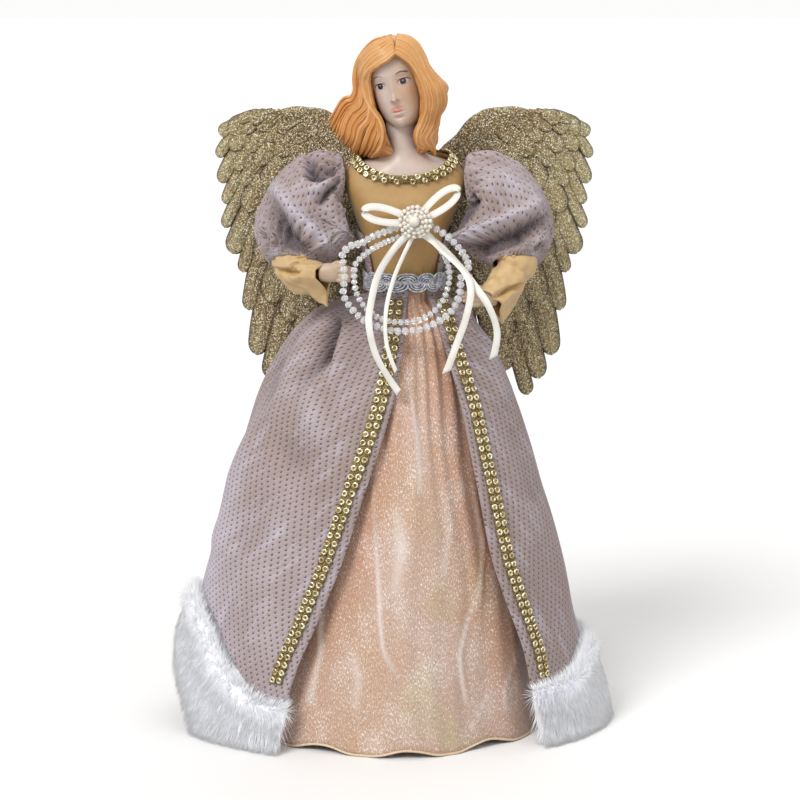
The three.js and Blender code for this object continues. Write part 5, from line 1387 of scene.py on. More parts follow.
def cuff_spot(side, name, spine, u, v):
    k = round(v * cuff_rows)
    across, lift = frame_on(spine, k, Vector((-side * 0.2, 1, 0.25)))
    angle = u * tau
    flare = 1 + 0.06 * bell(v - 1, 0.3) - 0.1 * bell(v - 0.5, 0.2)
    creases = noise.noise(Vector((2.3 * cos(angle), 2.3 * sin(angle), 7 * v + 3 * side)))
    bends = (0.5 - 0.5 * cos(26 * v)) * bell(v - 0.35, 0.22) * (0.5 + 0.5 * cos(angle + 2.2))
    radius = cuff_fullness * flare + 1.5 * MM * creases - 1.2 * MM * bends
    slack = 0.6 * MM * sin(3 * angle) * bell(v - 1, 0.25)
    radius = (radius + slack) * lerp(0.8, 1, clamp(8 * v))
    mouth = bell(v - 1, 0.42)
    out = across * radius * 0.95 * cos(angle) + lift * radius * sin(angle)
    low = clamp(-out.z / radius) * mouth
    out -= across * out.dot(across) / across.length_squared * (0.6 * low + 0.25 * mouth)
    out.z *= 1 + 0.32 * low - 0.3 * mouth * clamp(out.z / radius)
    spot = chest + spine[k] + out
    facing_us, sagging = clamp(0.2 - out.y / radius), clamp(-1.4 * out.z / radius)
    pulled = facing_us * (1.5 + 6.5 * sagging) - 4 * clamp(out.y / radius)
    spot += finger_direction(side) * MM * mouth * pulled
    return spot - out.normalized() * press(spot, cuff_marks[name], clamp(0.35 - 1.6 * out.y / radius))


for side, name in both_sides:
    spine = cuff_spine(side)
    cuff = grid_sheet(120, cuff_rows, lambda u, v: cuff_spot(side, name, spine, u, v), wrap=True)
    bmesh.ops.recalc_face_normals(cuff, faces=cuff.faces)
    thicken(hang(f"cuff_{name}_cloth", cuff, cuff_satin_painted_lighter, "arms",
                               [f"cuff_{name}"]), cuff_thickness)

# %% [markdown]
# ## Hands
#
# The hands are small castings. Palm, fingers and thumb start as separate rounded tubes, and a voxel
# remesh melts them into one skin, the way a sculptor presses clay pieces together.

# %% Hands
resin_skin, tree, shader = new_material("painted resin skin", tone(198, 172, 150), 0.42,
                                        subsurface_weight=0.18, subsurface_scale=0.004, coat_weight=0.12,
                                        coat_roughness=0.3)
tint = mottled(tree, place_of(tree), 60.0)
plug(shader, base_color=mix_color(tree, tint, (186, 158, 134), (204, 180, 158)),
     normal=bump(tree, noise_of(tree, place_of(tree), 900.0, 2.0), 0.12, 0.0003))


def finger(start, middle, end, radius):
    """A rounded tube through three points that narrows at its tip."""
    path = smooth_path([start, middle, end], 12)
    shape = [0.92, 1, 1, 0.98, 0.95, 0.93, 0.92, 0.9, 0.88, 0.82, 0.66, 0.3]
    return sweep(path, lambda i: Vector((0, 1, 0.01)), lambda i: round_section(radius * shape[i], 10))


def hand(side, name):
    def spot(along, back, up):
        straight = Vector((-side * along * hand_length, back * MM, up * MM))
        return chest + wrist_of(side) + Matrix.Rotation(side * hand_turn, 3, "Z") @ straight

    palm_path = [spot(-0.1 + 0.072 * k, 0, 0.2) for k in range(9)]
    palm_sizes = [(5.0, 4.2), (5.2, 4.2), (5.4, 4.0), (5.6, 3.9), (5.6, 3.8), (5.5, 3.6), (5.3, 3.3),
                  (4.9, 3.0), (3.9, 2.3)]
    pieces = [sweep(palm_path, lambda i: Vector((0, 0, 1)), lambda i: [
        (palm_sizes[i][0] * MM * cos(tau * k / 14), palm_sizes[i][1] * MM * sin(tau * k / 14))
        for k in range(14)])]
    for k, reach in enumerate((0.9, 1.0, 0.97, 0.86)):
        up = 3.9 - 2.55 * k
        pieces.append(finger(spot(0.42, -0.4, up), spot(0.42 + reach * 0.3, -1.2, up - 0.2),
                             spot(reach * 0.985, 0.4, up * 0.86 - 0.4), 1.38 * MM))
    pieces.append(finger(spot(0.2, 0.6, 3.6), spot(0.42, 0.2, 6.0), spot(0.66, -0.4, 5.6), 1.5 * MM))
    casting = hang(f"hand_{name}_casting", merge(pieces), resin_skin, "arms", [f"hand_{name}"])
    melt = casting.modifiers.new("melt", "REMESH")
    melt.mode = "VOXEL"
    melt.voxel_size = 0.4 * MM
    melt.use_smooth_shade = True
    soften = casting.modifiers.new("soften", "SMOOTH")
    soften.iterations = 4


for side, name in both_sides:
    hand(side, name)

# %% [markdown]
# ## Wings
#
# The wings are moulded in one piece and covered with glitter, but the mould was carved feather by
# feather. Each feather is a grid that narrows to a rounded tip, arched across and laid over the next
# one like a shingle. Four rows of them fan out from the arm, with small coverts and a rolled edge
# over their roots.

# %% Glitter finish
glitter_gold, tree, shader = new_material("gold glitter", tone(150, 134, 86), 0.4, metallic=0.35,
                                          specular_ior_level=0.7)
flakes = add_node(tree, "TexVoronoi", {"Vector": place_of(tree), "Scale": 1900.0})
flake = add_node(tree, "SeparateColor", {0: flakes.outputs["Color"]}).outputs
moss = mottled(tree, place_of(tree, (1, 1, 1.2)), 34.0)
# Paler towards the wing's outer edge, a painted rim light; darker brown towards the body.
out_from_body = math_node(tree, "ABSOLUTE", axes_of(tree, place_of(tree))[0])
# rib is the kept shade: painted shade between the feathers, a painted highlight along each shaft.
rib = shade_of(tree)
ground = mix_color(tree, mottled(tree, place_of(tree), 17.0), (122, 94, 56), (146, 130, 76))
ground = tinted(tree, ground, (
    (moss, 0.6, 1, 0.5, (128, 134, 92)), (out_from_body, 0.08, 0.125, 0.6, (192, 188, 146)),
    (out_from_body, 0.1, 0.04, 0.65, (78, 56, 44)), (flake[0], 0.4, 0.0, 0.85, (44, 32, 22)),
    (flake[1], 0.6, 0.9, 0.8, (212, 188, 128)), (flake[2], 0.82, 0.9, 0.95, (252, 244, 220)),
    (rib, 0.0, 1.0, 0.88, (44, 32, 22)), (rib, 0.0, -1.0, 0.45, (222, 208, 160))))
barbs = woven(tree, uv_of(tree, turn=0.55), 0.0017)
grit = math_node(tree, "MULTIPLY_ADD", barbs, 0.35, flakes.outputs["Distance"])
plug(shader, base_color=ground, roughness=ramp(tree, flake[1], 0, 1, 0.2, 0.55),
     normal=bump(tree, grit, 0.75, 0.0006))

# %% [markdown]
# ## Feathers
#
# One feather could be copied along the wing, but each bends its own way from the arm to its tip. So
# every feather is drawn along its own line of the fan, and its width comes from the lines beside it.

# %% Feathers
wing_span, wing_height, wing_top = 112 * MM, 178 * MM, 101 * MM
wing_sweep = math.radians(10)
feather_thickness = 2.6 * MM
feather_layer = 2 * MM
bridge_thickness = 2.2 * MM
wing_plane = (chest_half_depth + coat_thickness + 4 * clearance + bridge_thickness + 3 * clearance
              + feather_thickness / 2 + feather_layer * 2)
arm_shares = ((-0.2, 0.02, 0.42), (-0.1, 0.06, 0.38), (0, 0.12, 0.32), (0.3, 0.26, 0.16), (0.55, 0.42, 0.045),
              (0.8, 0.6, 0.014), (1, 0.74, 0.03))
tip_shares = (  # place in the fan, tip out from the body, tip down, droop of the tip in degrees
    (-0.2, 0.13, 0.7, 84), (-0.1, 0.35, 0.8, 78), (0, 0.579, 0.922, 74), (0.1, 0.698, 0.994, 73),
    (0.2, 0.756, 0.9, 77), (0.3, 0.83, 0.812, 84),
    (0.4, 0.857, 0.608, 78), (0.5, 0.904, 0.541, 74), (0.6, 0.97, 0.447, 66), (0.7, 0.965, 0.355, 68),
    (0.8, 0.985, 0.28, 68), (0.9, 1.0, 0.187, 66), (1, 0.99, 0.104, 42),
)


def wing_point(out, down, front):
    x = out * wing_span
    return Vector((x, wing_plane + x * math.tan(wing_sweep) - front, wing_top - down * wing_height))


def fan_spot(fan, reach, front):
    """A point on a feather's shaft, which bends from the wing's arm down to the tip at reach 1."""
    fan = clamp(fan, -0.2)
    root = Vector((read(arm_shares, fan, 1) * wing_span, -read(arm_shares, fan, 2) * wing_height))
    tip = Vector((read(tip_shares, fan, 1) * wing_span, -read(tip_shares, fan, 2) * wing_height))
    droop = math.radians(read(tip_shares, fan, 3))
    length = (tip - root).length
    rise = math.atan2(tip.y - root.y, tip.x - root.x) + math.radians(20)
    knee = root + Vector((cos(rise), sin(rise))) * length * 0.4
    ankle = tip - Vector((cos(droop), -sin(droop))) * length * 0.35
    rest = 1 - reach
    spot = root * rest ** 3 + knee * 3 * rest ** 2 * reach + ankle * 3 * rest * reach ** 2 + tip * reach ** 3
    return wing_point(spot.x / wing_span, -spot.y / wing_height, front)

# %% One feather
def feather(fan, gap, start, reach, front, arch, overlap, columns=10, rows=26):
    """One feather along a shaft of the fan: arched across, fluted, tilted like a shingle, its tip round."""
    shaft = [fan_spot(fan, lerp(start, reach, k / 40), front) for k in range(41)]
    length = sum((b - a).length for a, b in zip(shaft, shaft[1:]))

    def spot(u, v):
        side = 2 * u - 1
        along = 1 - (1 - v) ** 1.5
        reach_here = lerp(start, reach, along)
        middle = fan_spot(fan, reach_here, front)
        run = (fan_spot(fan, reach_here + 0.01, front) - fan_spot(fan, reach_here - 0.01, front)).normalized()
        across = Vector((0, -1, 0)).cross(run).normalized()
        spread = fan_spot(fan + gap / 2, reach_here, front) - fan_spot(fan - gap / 2, reach_here, front)
        if not -0.2 < fan - gap / 2 < fan + gap / 2 < 1:
            spread *= 2
        half = clamp(abs(spread.dot(across)) / 2, 2.8 * MM, 7.4 * MM) * overlap
        left = (1 - along) * length
        end = 1.25 * half
        half *= math.sqrt(max(0.0, 1 - (1 - clamp(left / end)) ** 2)) * lerp(0.8, 1, clamp(v * 4))
        arc = arch * (1 - side * side) + 0.4 * MM * bell(side, 0.12) * clamp(5 - 5 * v)
        flute = 0.22 * MM * cos(side * 10) * clamp(3 * v)
        drop = -0.8 * MM * bell(v - 1, 0.05)
        return middle + across * side * half + Vector((0, -(arc + flute + drop - 0.95 * MM * side), 0))
    # The kept shade paints shade along the feather's edges and a highlight down its shaft.
    return grid_sheet(columns, rows, spot, shade=lambda u, v: clamp(abs(2 * u - 1) * 3.2 - 2.2) * clamp(4 * v)
                      - 0.8 * bell(2 * u - 1, 0.3) * clamp(2.5 * v - 1.5))

# %% Both wings
feather_rows = (  # feathers, start and reach along the shaft, step forwards, arch, overlap
    (14, 0.1, 1.0, -0.2, 1.5, 1.2), (12, 0.09, 0.74, 0.6, 1.4, 1.25), (11, 0.08, 0.52, 1.3, 1.2, 1.3),
    (10, 0.08, 0.34, 2.0, 0.9, 1.35),
)
covert_count = 15


def wing_feathers():
    pieces = []
    dice = random.Random(7)
    for row, (count, start, reach, step, arch, overlap) in enumerate(feather_rows):
        for k in range(count):
            fan = lerp(-0.2, 1, (k + 0.5 * (row % 2)) / (count - 1 + row % 2))
            length = reach * (1 if row == 0 else 1 + 0.09 * (dice.random() - 0.5))
            front = step * feather_layer + 0.12 * MM * k
            pieces.append(feather(fan, 1.2 / (count - 1), start, length, front, arch * MM, overlap))
    for k in range(covert_count):
        pieces.append(feather((k + 0.25) / covert_count, 1 / covert_count, 0.07, 0.2 + 0.02 * dice.random(),
                              2.5 * feather_layer, 0.5 * MM, 1.3, 6, 10))
    return merge(pieces)


def wing_edge():
    """The rolled leading edge over the feathers' roots."""
    def spot(u, v):
        turn = u * tau
        swell = math.sqrt(max(0.0, 1 - clamp((v - 0.93) / 0.07) ** 2)) * clamp(v * 12 + 0.3)
        lumps = noise.noise(Vector((9 * v, cos(turn), 5)))
        reach = 0.05 + (0.095 + 0.01 * lumps) * cos(turn) * swell
        front = feather_layer * 1.2 + (4.3 * MM + 0.7 * MM * lumps) * sin(turn) * swell
        return fan_spot(v, reach, front)
    return grid_sheet(28, 90, spot, wrap=True)


for side, name in both_sides:
    for label, piece in (("feathers", wing_feathers()), ("edge", wing_edge())):
        bmesh.ops.transform(piece, matrix=Matrix.Diagonal((side, 1, 1, 1)), verts=piece.verts)
        bmesh.ops.translate(piece, vec=chest, verts=piece.verts)
        if label == "edge":
            seal(piece)
        elif side > 0:
            turned(piece)
        made = hang(f"wing_{name}_{label}", piece, glitter_gold, "figure",
                    [f"wing_{name}"] if label == "feathers" else [])
        if label == "feathers":
            thicken(made, 1.3 * MM)

# %% [markdown]
# ## Garland
#
# The garland is two strings of cut glass beads tied in rings. Glass could be left to refraction
# alone, but against a white room clear beads then vanish, so they let only part of the light
# through and glow a little.

# %% Bead rings
glass_bead, tree, shader = new_material("clear glass beads", tone(250, 250, 253), 0.08, ior=1.46,
                                        transmission_weight=0.72, coat_weight=0.7, coat_roughness=0.03,
                                        emission_strength=0.06, emission_color=tone(255, 255, 255))
grained(shader, (246, 252, 253), (255, 251, 255), 260.0, 1.0, span=(0.35, 0.65))
outer_bead, inner_bead = 2.3 * MM, 1.9 * MM
garland_half_width, garland_drop = 36 * MM, 60 * MM
brooch_across, brooch_rise = 6.3 * MM, 38.5 * MM
chest_front = chest_half_depth + coat_thickness + 2 * clearance
hand_front = wrist_forward + hand_length * sin(hand_turn) + 4 * MM + clearance
outer_ring_shares = (  # across the ring's half width, down over its drop, forwards to the hands
    (0.3, 0.02, 0), (-0.04, 0.05, 0), (-0.29, 0.09, 0.2), (-0.51, 0.13, 0.5), (-0.68, 0.18, 0.8),
    (-0.86, 0.2, 1), (-0.97, 0.28, 0.92), (-0.96, 0.37, 0.92), (-0.94, 0.5, 0.92), (-0.96, 0.64, 0.96),
    (-0.88, 0.75, 1), (-0.73, 0.85, 1), (-0.58, 0.92, 1), (-0.4, 0.96, 1), (-0.18, 1, 1), (0.06, 1, 1),
    (0.32, 0.97, 1), (0.52, 0.91, 1), (0.7, 0.83, 1), (0.81, 0.73, 1.02), (0.87, 0.62, 1.04),
    (0.88, 0.5, 0.98), (1, 0.41, 0.72), (0.95, 0.32, 0.42), (0.83, 0.23, 0.2), (0.65, 0.13, 0.1),
)
inner_ring_shares = (
    (0.26, 0.11, 0), (-0.02, 0.14, 0), (-0.25, 0.18, 0.25), (-0.45, 0.22, 0.66), (-0.62, 0.28, 0.9),
    (-0.76, 0.36, 1.06), (-0.79, 0.47, 1.06), (-0.77, 0.6, 1), (-0.68, 0.73, 0.98), (-0.52, 0.83, 0.98),
    (-0.3, 0.9, 0.98), (-0.04, 0.92, 0.98), (0.22, 0.9, 0.98), (0.45, 0.82, 0.98), (0.6, 0.71, 0.98),
    (0.68, 0.58, 0.9), (0.7, 0.45, 0.66), (0.62, 0.31, 0.34), (0.46, 0.19, 0.1),
)


def bead_template():
    """A cut bead of unit radius: a squashed ball with flat facets."""
    bm = bmesh.new()
    bmesh.ops.create_uvsphere(bm, u_segments=7, v_segments=5, radius=1)
    for vert in bm.verts:
        vert.co.z *= 0.86
    return bm

# %% Two rings of beads
def bead_ring(name, shares, radius, pitch):
    route = [chest + Vector((across * garland_half_width,
                             -lerp(chest_front, hand_front, forwards) - radius,
                             brooch_rise - down * garland_drop)) for across, down, forwards in shares]
    fine = smooth_path(route, 600, closed=True)
    length = sum((fine[k] - fine[k - 1]).length for k in range(600))
    beads = round(length / pitch)
    path = smooth_path(route, beads, closed=True)
    dice = random.Random(len(shares))
    places = []
    for k in range(beads):
        along = path[(k + 1) % beads] - path[k - 1]
        turn = along.to_track_quat("Z", "Y").to_matrix().to_4x4()
        turn = turn @ Matrix.Rotation(dice.random() * tau, 4, "Z")
        size = radius * (0.92 + 0.14 * dice.random())
        places.append(Matrix.Translation(path[k]) @ turn @ Matrix.Scale(size, 4))
    hang(f"{name}_beads", copies(bead_template(), places), glass_bead, "arms", [name],
         smooth=False)
    thread = cord(path, 0.28 * MM, 5, (0, 1, 0.2), closed=True)
    hang(f"{name}_thread", thread, thread_finish, "arms")


thread_finish, tree, shader = new_material("bead thread", tone(214, 210, 206), 0.5)
grained(shader, (196, 190, 186), (232, 230, 226), 1500.0, 1.0)
bead_ring("bead_ring_outer", outer_ring_shares, outer_bead, 4.1 * MM)
bead_ring("bead_ring_inner", inner_ring_shares, inner_bead, 3.5 * MM)

# %% [markdown]
# ## Bow and ribbon tails
#
# The bow is narrow satin ribbon, and four tails hang from it over the garland. A bevelled curve could
# carry it, but would end square; a flat section is swept along given routes, and each end is cut
# at a slant, as with scissors.

# %% Bow
ribbon_width, ribbon_thickness = 4 * MM, 0.45 * MM
bow_back = chest_front + outer_bead * 2 + clearance * 2
knot_depth = 3.8 * MM
bow_loop_length, bow_loop_width = 30 * MM, 10 * MM
ribbon_satin, tree, shader = new_material("white satin ribbon", tone(243, 239, 230), 0.3, sheen_weight=0.3,
                                          anisotropic=0.5)
weft = woven(tree, uv_of(tree), 0.0005)
wash = mottled(tree, place_of(tree), 70.0)
plug(shader, base_color=mix_color(tree, wash, (232, 227, 215), (250, 248, 242)),
     normal=bump(tree, weft, 0.3, 0.0002))


def strap(width):
    """A flat section with soft edges and a slight crown."""
    w, t = width / 2, ribbon_thickness / 2
    return [(-w, 0), (-w * 0.94, -t), (0, -t * 1.3), (w * 0.94, -t), (w, 0), (w * 0.94, t), (0, t * 1.3),
            (-w * 0.94, t)]


bow_place = chest + Vector((brooch_across, -bow_back - knot_depth / 2, brooch_rise))


def bow_loop(direction, rise):
    along = Vector((cos(rise) * direction, 0, sin(rise)))
    up = Vector((-sin(rise) * direction, 0, cos(rise)))
    path = []
    for k in range(49):
        out = 0.5 - 0.5 * cos(tau * k / 49)
        opened = sin(tau * k / 49) * math.sqrt(out) * (bow_loop_width / 2)
        belly = 1.2 * MM * sin(tau * k / 49) * out
        path.append(bow_place + along * out * bow_loop_length + up * opened + Vector((0, belly, 0)))
    return sweep(path, lambda i: Vector((0, 0.4, 0.92)), lambda i: strap(ribbon_width * 1.1 * lerp(
        0.72, 1, clamp(3 * sin(pi * i / 49)))), closed=True)


knot = bmesh.new()
bmesh.ops.create_uvsphere(knot, u_segments=24, v_segments=16, radius=4.4 * MM)
bmesh.ops.scale(knot, vec=(1, 0.43, 0.8), verts=knot.verts)
bmesh.ops.translate(knot, vec=bow_place, verts=knot.verts)
knot.loops.layers.uv.new("cloth")
loops = [bow_loop(-1, math.radians(12)), bow_loop(1, math.radians(38))]
hang("ribbon_bow_loops", merge([knot, *loops]), ribbon_satin, "arms", ["ribbon_bow"])

# %% Ribbon tails
tail_shares = {  # across and down over the loop's length, forwards over the garland's
    "left": (0, 1, ((-0.06, 0.17, 0), (-0.4, 0.5, 0.12), (-0.7, 0.95, 0.45), (-0.84, 1.45, 0.8),
                    (-0.88, 1.85, 1.15), (-0.76, 2.4, 1.15), (-0.52, 2.85, 1.1), (-0.28, 3.2, 1.1))),
    "inner": (1, 0.6, ((0, 0.17, 0), (-0.22, 0.6, 0.2), (-0.42, 1.05, 0.55), (-0.56, 1.6, 0.95),
                       (-0.55, 2.2, 1.2), (-0.36, 2.75, 1.35))),
    "outer": (0, 1, ((0.1, 0.15, 0), (0.3, 0.32, 0), (0.52, 0.48, 0.26), (0.87, 0.83, 0.8),
                     (1.12, 1.15, 1.12), (1.36, 1.5, 1.25), (1.52, 2.0, 1.2), (1.44, 2.55, 1.1))),
    "right": (3, 1, ((0.06, 0.17, 0), (0.3, 0.35, 0.02), (0.5, 0.52, 0.34), (0.9, 0.87, 0.85),
                     (1.02, 1.2, 1.15), (0.93, 1.7, 1.25), (0.76, 2.2, 1.2), (0.55, 2.8, 1.15))),
}


def ribbon_tail(layer, width_share, shares):
    route = []
    for across, down, forwards in shares:
        rise = brooch_rise - down * bow_loop_length
        height = 1 + rise / waist_height
        trims = skirt_front_depth * read(skirt_shares, height, 2) + coat_gap + 3 * clearance + 1.9 * MM
        front = max(bow_back + forwards * (hand_front - chest_front), trims)
        route.append(chest + Vector((brooch_across + across * bow_loop_length,
                                     -front - layer * (0.5 * MM + clearance), rise)))
    path = smooth_path(route, 70)
    tail = sweep(path, lambda i: Vector((1, 0.35 * sin(tau * i / 69), 0)),
                 lambda i: strap(ribbon_width * width_share))
    end = path[-1] - path[-2]
    slant = (end.normalized() + Vector((0.7, 0, 0))).normalized()
    cut = bmesh.ops.bisect_plane(tail, geom=[*tail.verts, *tail.edges, *tail.faces],
                                 plane_co=path[-1] - end.normalized() * ribbon_width * 0.5 * width_share,
                                 plane_no=slant, clear_outer=True)
    rim = [e for e in cut["geom_cut"] if isinstance(e, bmesh.types.BMEdge)]
    bmesh.ops.holes_fill(tail, edges=rim)
    return tail


for name, (layer, width_share, shares) in tail_shares.items():
    hang(f"ribbon_{name}_tail", ribbon_tail(layer, width_share, shares), ribbon_satin, "arms",
         [f"ribbon_tail_{name}"])

# %% [markdown]
# ## Pearl brooch
#
# The brooch hides the knot: a dome of small pearls round a large one. Modelling them one by one would
# add nothing, so they stand in three rings, with a little chance in their places and sizes.

# %% Pearl brooch
pearl_finish, tree, shader = new_material("pearls", tone(242, 234, 220), 0.22, coat_weight=0.6,
                                          coat_roughness=0.12, subsurface_weight=0.1, subsurface_scale=0.002)
bloom = mottled(tree, place_of(tree), 240.0)
plug(shader, base_color=mix_color(tree, bloom, (232, 218, 200), (248, 244, 236)))
centre_radius = 3.1 * MM
brooch_radius, brooch_thickness = 10 * MM, 1.8 * MM
brooch_front = bow_back + knot_depth + clearance
brooch_pose = (Matrix.Translation(chest + Vector((brooch_across, -brooch_front, brooch_rise)))
               @ Matrix.Rotation(pi / 2, 4, "X"))
pearl_rings = ((8.5, 19, 1.35, 1.5), (6.2, 14, 1.35, 2.9), (4.1, 9, 1.3, 3.8))


def pearl_template():
    bm = bmesh.new()
    bmesh.ops.create_icosphere(bm, subdivisions=2, radius=1)
    return bm


pearl_places = []
dice = random.Random(5)
for ring, count, size, rise in pearl_rings:
    for k in range(count):
        angle = tau * (k + 0.3 * dice.random()) / count
        middle = Vector((ring * cos(angle) - 0.35, ring * sin(angle) + 0.35, rise)) * MM
        pearl_places.append(brooch_pose @ Matrix.Translation(middle) @ Matrix.Scale(
            size * MM * (0.94 + 0.14 * dice.random()), 4))
base = bmesh.new()
bmesh.ops.create_cone(base, cap_ends=True, segments=48, radius1=brooch_radius * 0.93,
                      radius2=brooch_radius * 0.5, depth=brooch_thickness * 1.6)
bmesh.ops.translate(base, vec=(0, 0, brooch_thickness * 0.8), verts=base.verts)
bmesh.ops.transform(base, matrix=brooch_pose, verts=base.verts)
hang("brooch_base", base, pearl_finish, "arms", ["pearl_brooch"])
hang("brooch_pearls", copies(pearl_template(), pearl_places), pearl_finish, "arms")
big_pearl = bmesh.new()
bmesh.ops.create_uvsphere(big_pearl, u_segments=40, v_segments=24, radius=centre_radius)
bmesh.ops.translate(big_pearl, vec=(-1 * MM, 1 * MM, brooch_thickness + centre_radius + clearance),
                    verts=big_pearl.verts)
bmesh.ops.transform(big_pearl, matrix=brooch_pose, verts=big_pearl.verts)
hang("brooch_centre_pearl", big_pearl, pearl_finish, "arms", ["centre_pearl"])

# %% [markdown]
# ## Painted face
#
# The face is painted on by hand. It could be an image laid on the head, which blurs when seen from
# near. Here it is a set of spots in the material: each is an ellipse in the face's own flat
# coordinates, and a lash line or an eyebrow is what is left of one ellipse outside another.

# %% Painted spot
spot_group, spot_in, spot_out = new_group(
    "painted spot", [("Vector", "Vector", None), ("Center", "Vector", (0, 0, 0)),
                     ("Size", "Vector", (0.001, 0.001, 1)), ("Softness", "Float", 0.1)], [("Mask", "Float")])
from_middle = vector_node(spot_group, "SUBTRACT", spot_in["Vector"], spot_in["Center"])
reach = vector_node(spot_group, "LENGTH", vector_node(spot_group, "DIVIDE", from_middle, spot_in["Size"]))
outer = math_node(spot_group, "ADD", spot_in["Softness"], 1.0)
inner = math_node(spot_group, "SUBTRACT", 1.0, spot_in["Softness"])
spot_group.links.new(ramp(spot_group, reach, outer, inner), spot_out.inputs["Mask"])

face_paint, face_tree, face_shader = new_material(
    "painted face", tone(224, 206, 200), 0.4, subsurface_weight=0.15, subsurface_scale=0.004,
    coat_weight=0.15, coat_roughness=0.25)
face = uv_of(face_tree)
eye_across = 6.8  # from the middle of the face, in millimetres


def face_spot(x, z, wide, tall, softness=0.1):
    """A painted ellipse in millimetres across and up from the middle of the face."""
    return use_group(face_tree, spot_group, vector=face, center=(x * MM, z * MM, 0),
                     size=(wide * MM, tall * MM, 1), softness=softness)["Mask"]


def outside(whole, hidden):
    """What is left of one mask outside another."""
    return math_node(face_tree, "MULTIPLY", whole, math_node(face_tree, "SUBTRACT", 1.0, hidden))


def face_arc(x, z, wide, tall, thick, softness=0.06, drop=0.0):
    """What is left of an ellipse above a lower one: a lash line or an eyebrow."""
    return outside(face_spot(x, z, wide, tall, softness),
                   face_spot(x + drop, z - thick, wide * 0.99, tall, softness))


def dab(face_colour, mask, colour, share=None):
    """The face's colour with another colour over it where a mask is, at a share of the mask's strength."""
    if share is not None:
        mask = math_node(face_tree, "MULTIPLY", mask, share)
    return mix_color(face_tree, mask, face_colour, colour)


def larger(first, second):
    return math_node(face_tree, "MAXIMUM", first, second)

# %% Face paint
tint = mottled(face_tree, place_of(face_tree), 45.0)
face_colour = mix_color(face_tree, tint, (204, 182, 168), (214, 197, 186))
# Painted shade: right side of the face, beside the nose, under lip and chin. Blush on both cheeks, a tint on each lid.
skin_tints_and_painted_shade = (  # across, up, half width, half height, softness, strength, colour
    (12, -5, 9, 20, 0.8, 0.75, (194, 158, 122)), (9.5, -6.5, 6.0, 5.5, 0.8, 0.5, (196, 142, 106)),
    (-9.5, -7, 4.5, 4, 0.8, 0.2, (210, 168, 152)),
    (6.6, 2.2, 3.6, 1.5, 0.7, 0.4, (204, 160, 146)), (-6.6, 2.0, 3.6, 1.5, 0.7, 0.4, (206, 168, 160)),
    (2.2, -2, 1.4, 6, 0.8, 0.3, (204, 170, 140)), (0, -21.5, 6, 1.6, 0.7, 0.3, (200, 150, 120)),
    (0, -17.6, 3.0, 0.7, 0.7, 0.35, (204, 150, 124)),
)
for x, z, wide, tall, softness, share, colour in skin_tints_and_painted_shade:
    face_colour = dab(face_colour, face_spot(x, z, wide, tall, softness), colour, share)
upper_lip = larger(face_spot(1.4, -13.7, 2.3, 0.85, 0.35), face_spot(-1.4, -13.7, 2.3, 0.85, 0.35))
lips = larger(face_spot(0, -15.4, 3.0, 1.2, 0.35), upper_lip)
face_colour = dab(face_colour, lips, (206, 126, 106), 0.75)
face_colour = dab(face_colour, face_spot(0, -14.35, 3.4, 0.26, 0.6), (160, 84, 70), 0.6)
for side in (1, -1):
    face_colour = dab(face_colour, face_spot(side * 1.5, -9.3, 0.62, 0.34, 0.5), (160, 96, 74), 0.75)
    x = side * eye_across
    face_colour = dab(face_colour, face_spot(x, -0.05, 2.8, 1.35, 0.16), (196, 184, 178))
    iris = math_node(face_tree, "MULTIPLY", face_spot(x - 0.1, -0.02, 1.75, 1.75, 0.12),
                     face_spot(x, -0.05, 3.1, 1.6, 0.1))
    face_colour = dab(face_colour, iris, (30, 26, 42))
    face_colour = dab(face_colour, face_spot(x - 0.1, 0.0, 0.95, 0.95, 0.3), (10, 8, 14))
    face_colour = dab(face_colour, face_spot(x - 0.15, 0.55, 0.32, 0.32, 0.6), (200, 192, 214), 0.8)
    face_colour = dab(face_colour, face_arc(x + side * 0.3, -0.1, 3.6, 2.0, 0.6), (62, 34, 34))
    face_colour = dab(face_colour, face_arc(x, 0.3, 3.7, 2.6, 0.3), (164, 112, 98), 0.5)
    lower = outside(face_spot(x, -0.3, 3.1, 1.75, 0.12), face_spot(x, 0.0, 3.1, 1.75, 0.1))
    face_colour = dab(face_colour, lower, (150, 104, 96), 0.55)
    brow_thick, brow_tone = (0.85, (98, 62, 40)) if side > 0 else (0.6, (140, 96, 88))
    brow = face_arc(x + side * 0.4, 2.6, 4.4, 3.4, brow_thick, 0.07, -0.35 * side)
    above = face_spot(x + side * 0.2, 6.2, 4.4, 2.4, 0.15)
    face_colour = dab(face_colour, math_node(face_tree, "MULTIPLY", brow, above), brow_tone)
gloss = larger(lips, larger(face_spot(eye_across, 0, 3, 1.5), face_spot(-eye_across, 0, 3, 1.5)))
pores = noise_of(face_tree, place_of(face_tree), 700.0, 3.0)
plug(face_shader, base_color=face_colour, roughness=ramp(face_tree, gloss, 0, 1, 0.42, 0.16),
     normal=bump(face_tree, pores, 0.1, 0.0003))

# %% [markdown]
# ## Head and neck
#
# The head, neck and shoulders are cast in resin. Sculpting by hand can't be repeated by a script, so
# the surface is a stack of ovals from a table, and the nose, lids, lips, chin and cheeks are soft
# bumps added to it, the way clay is built up.

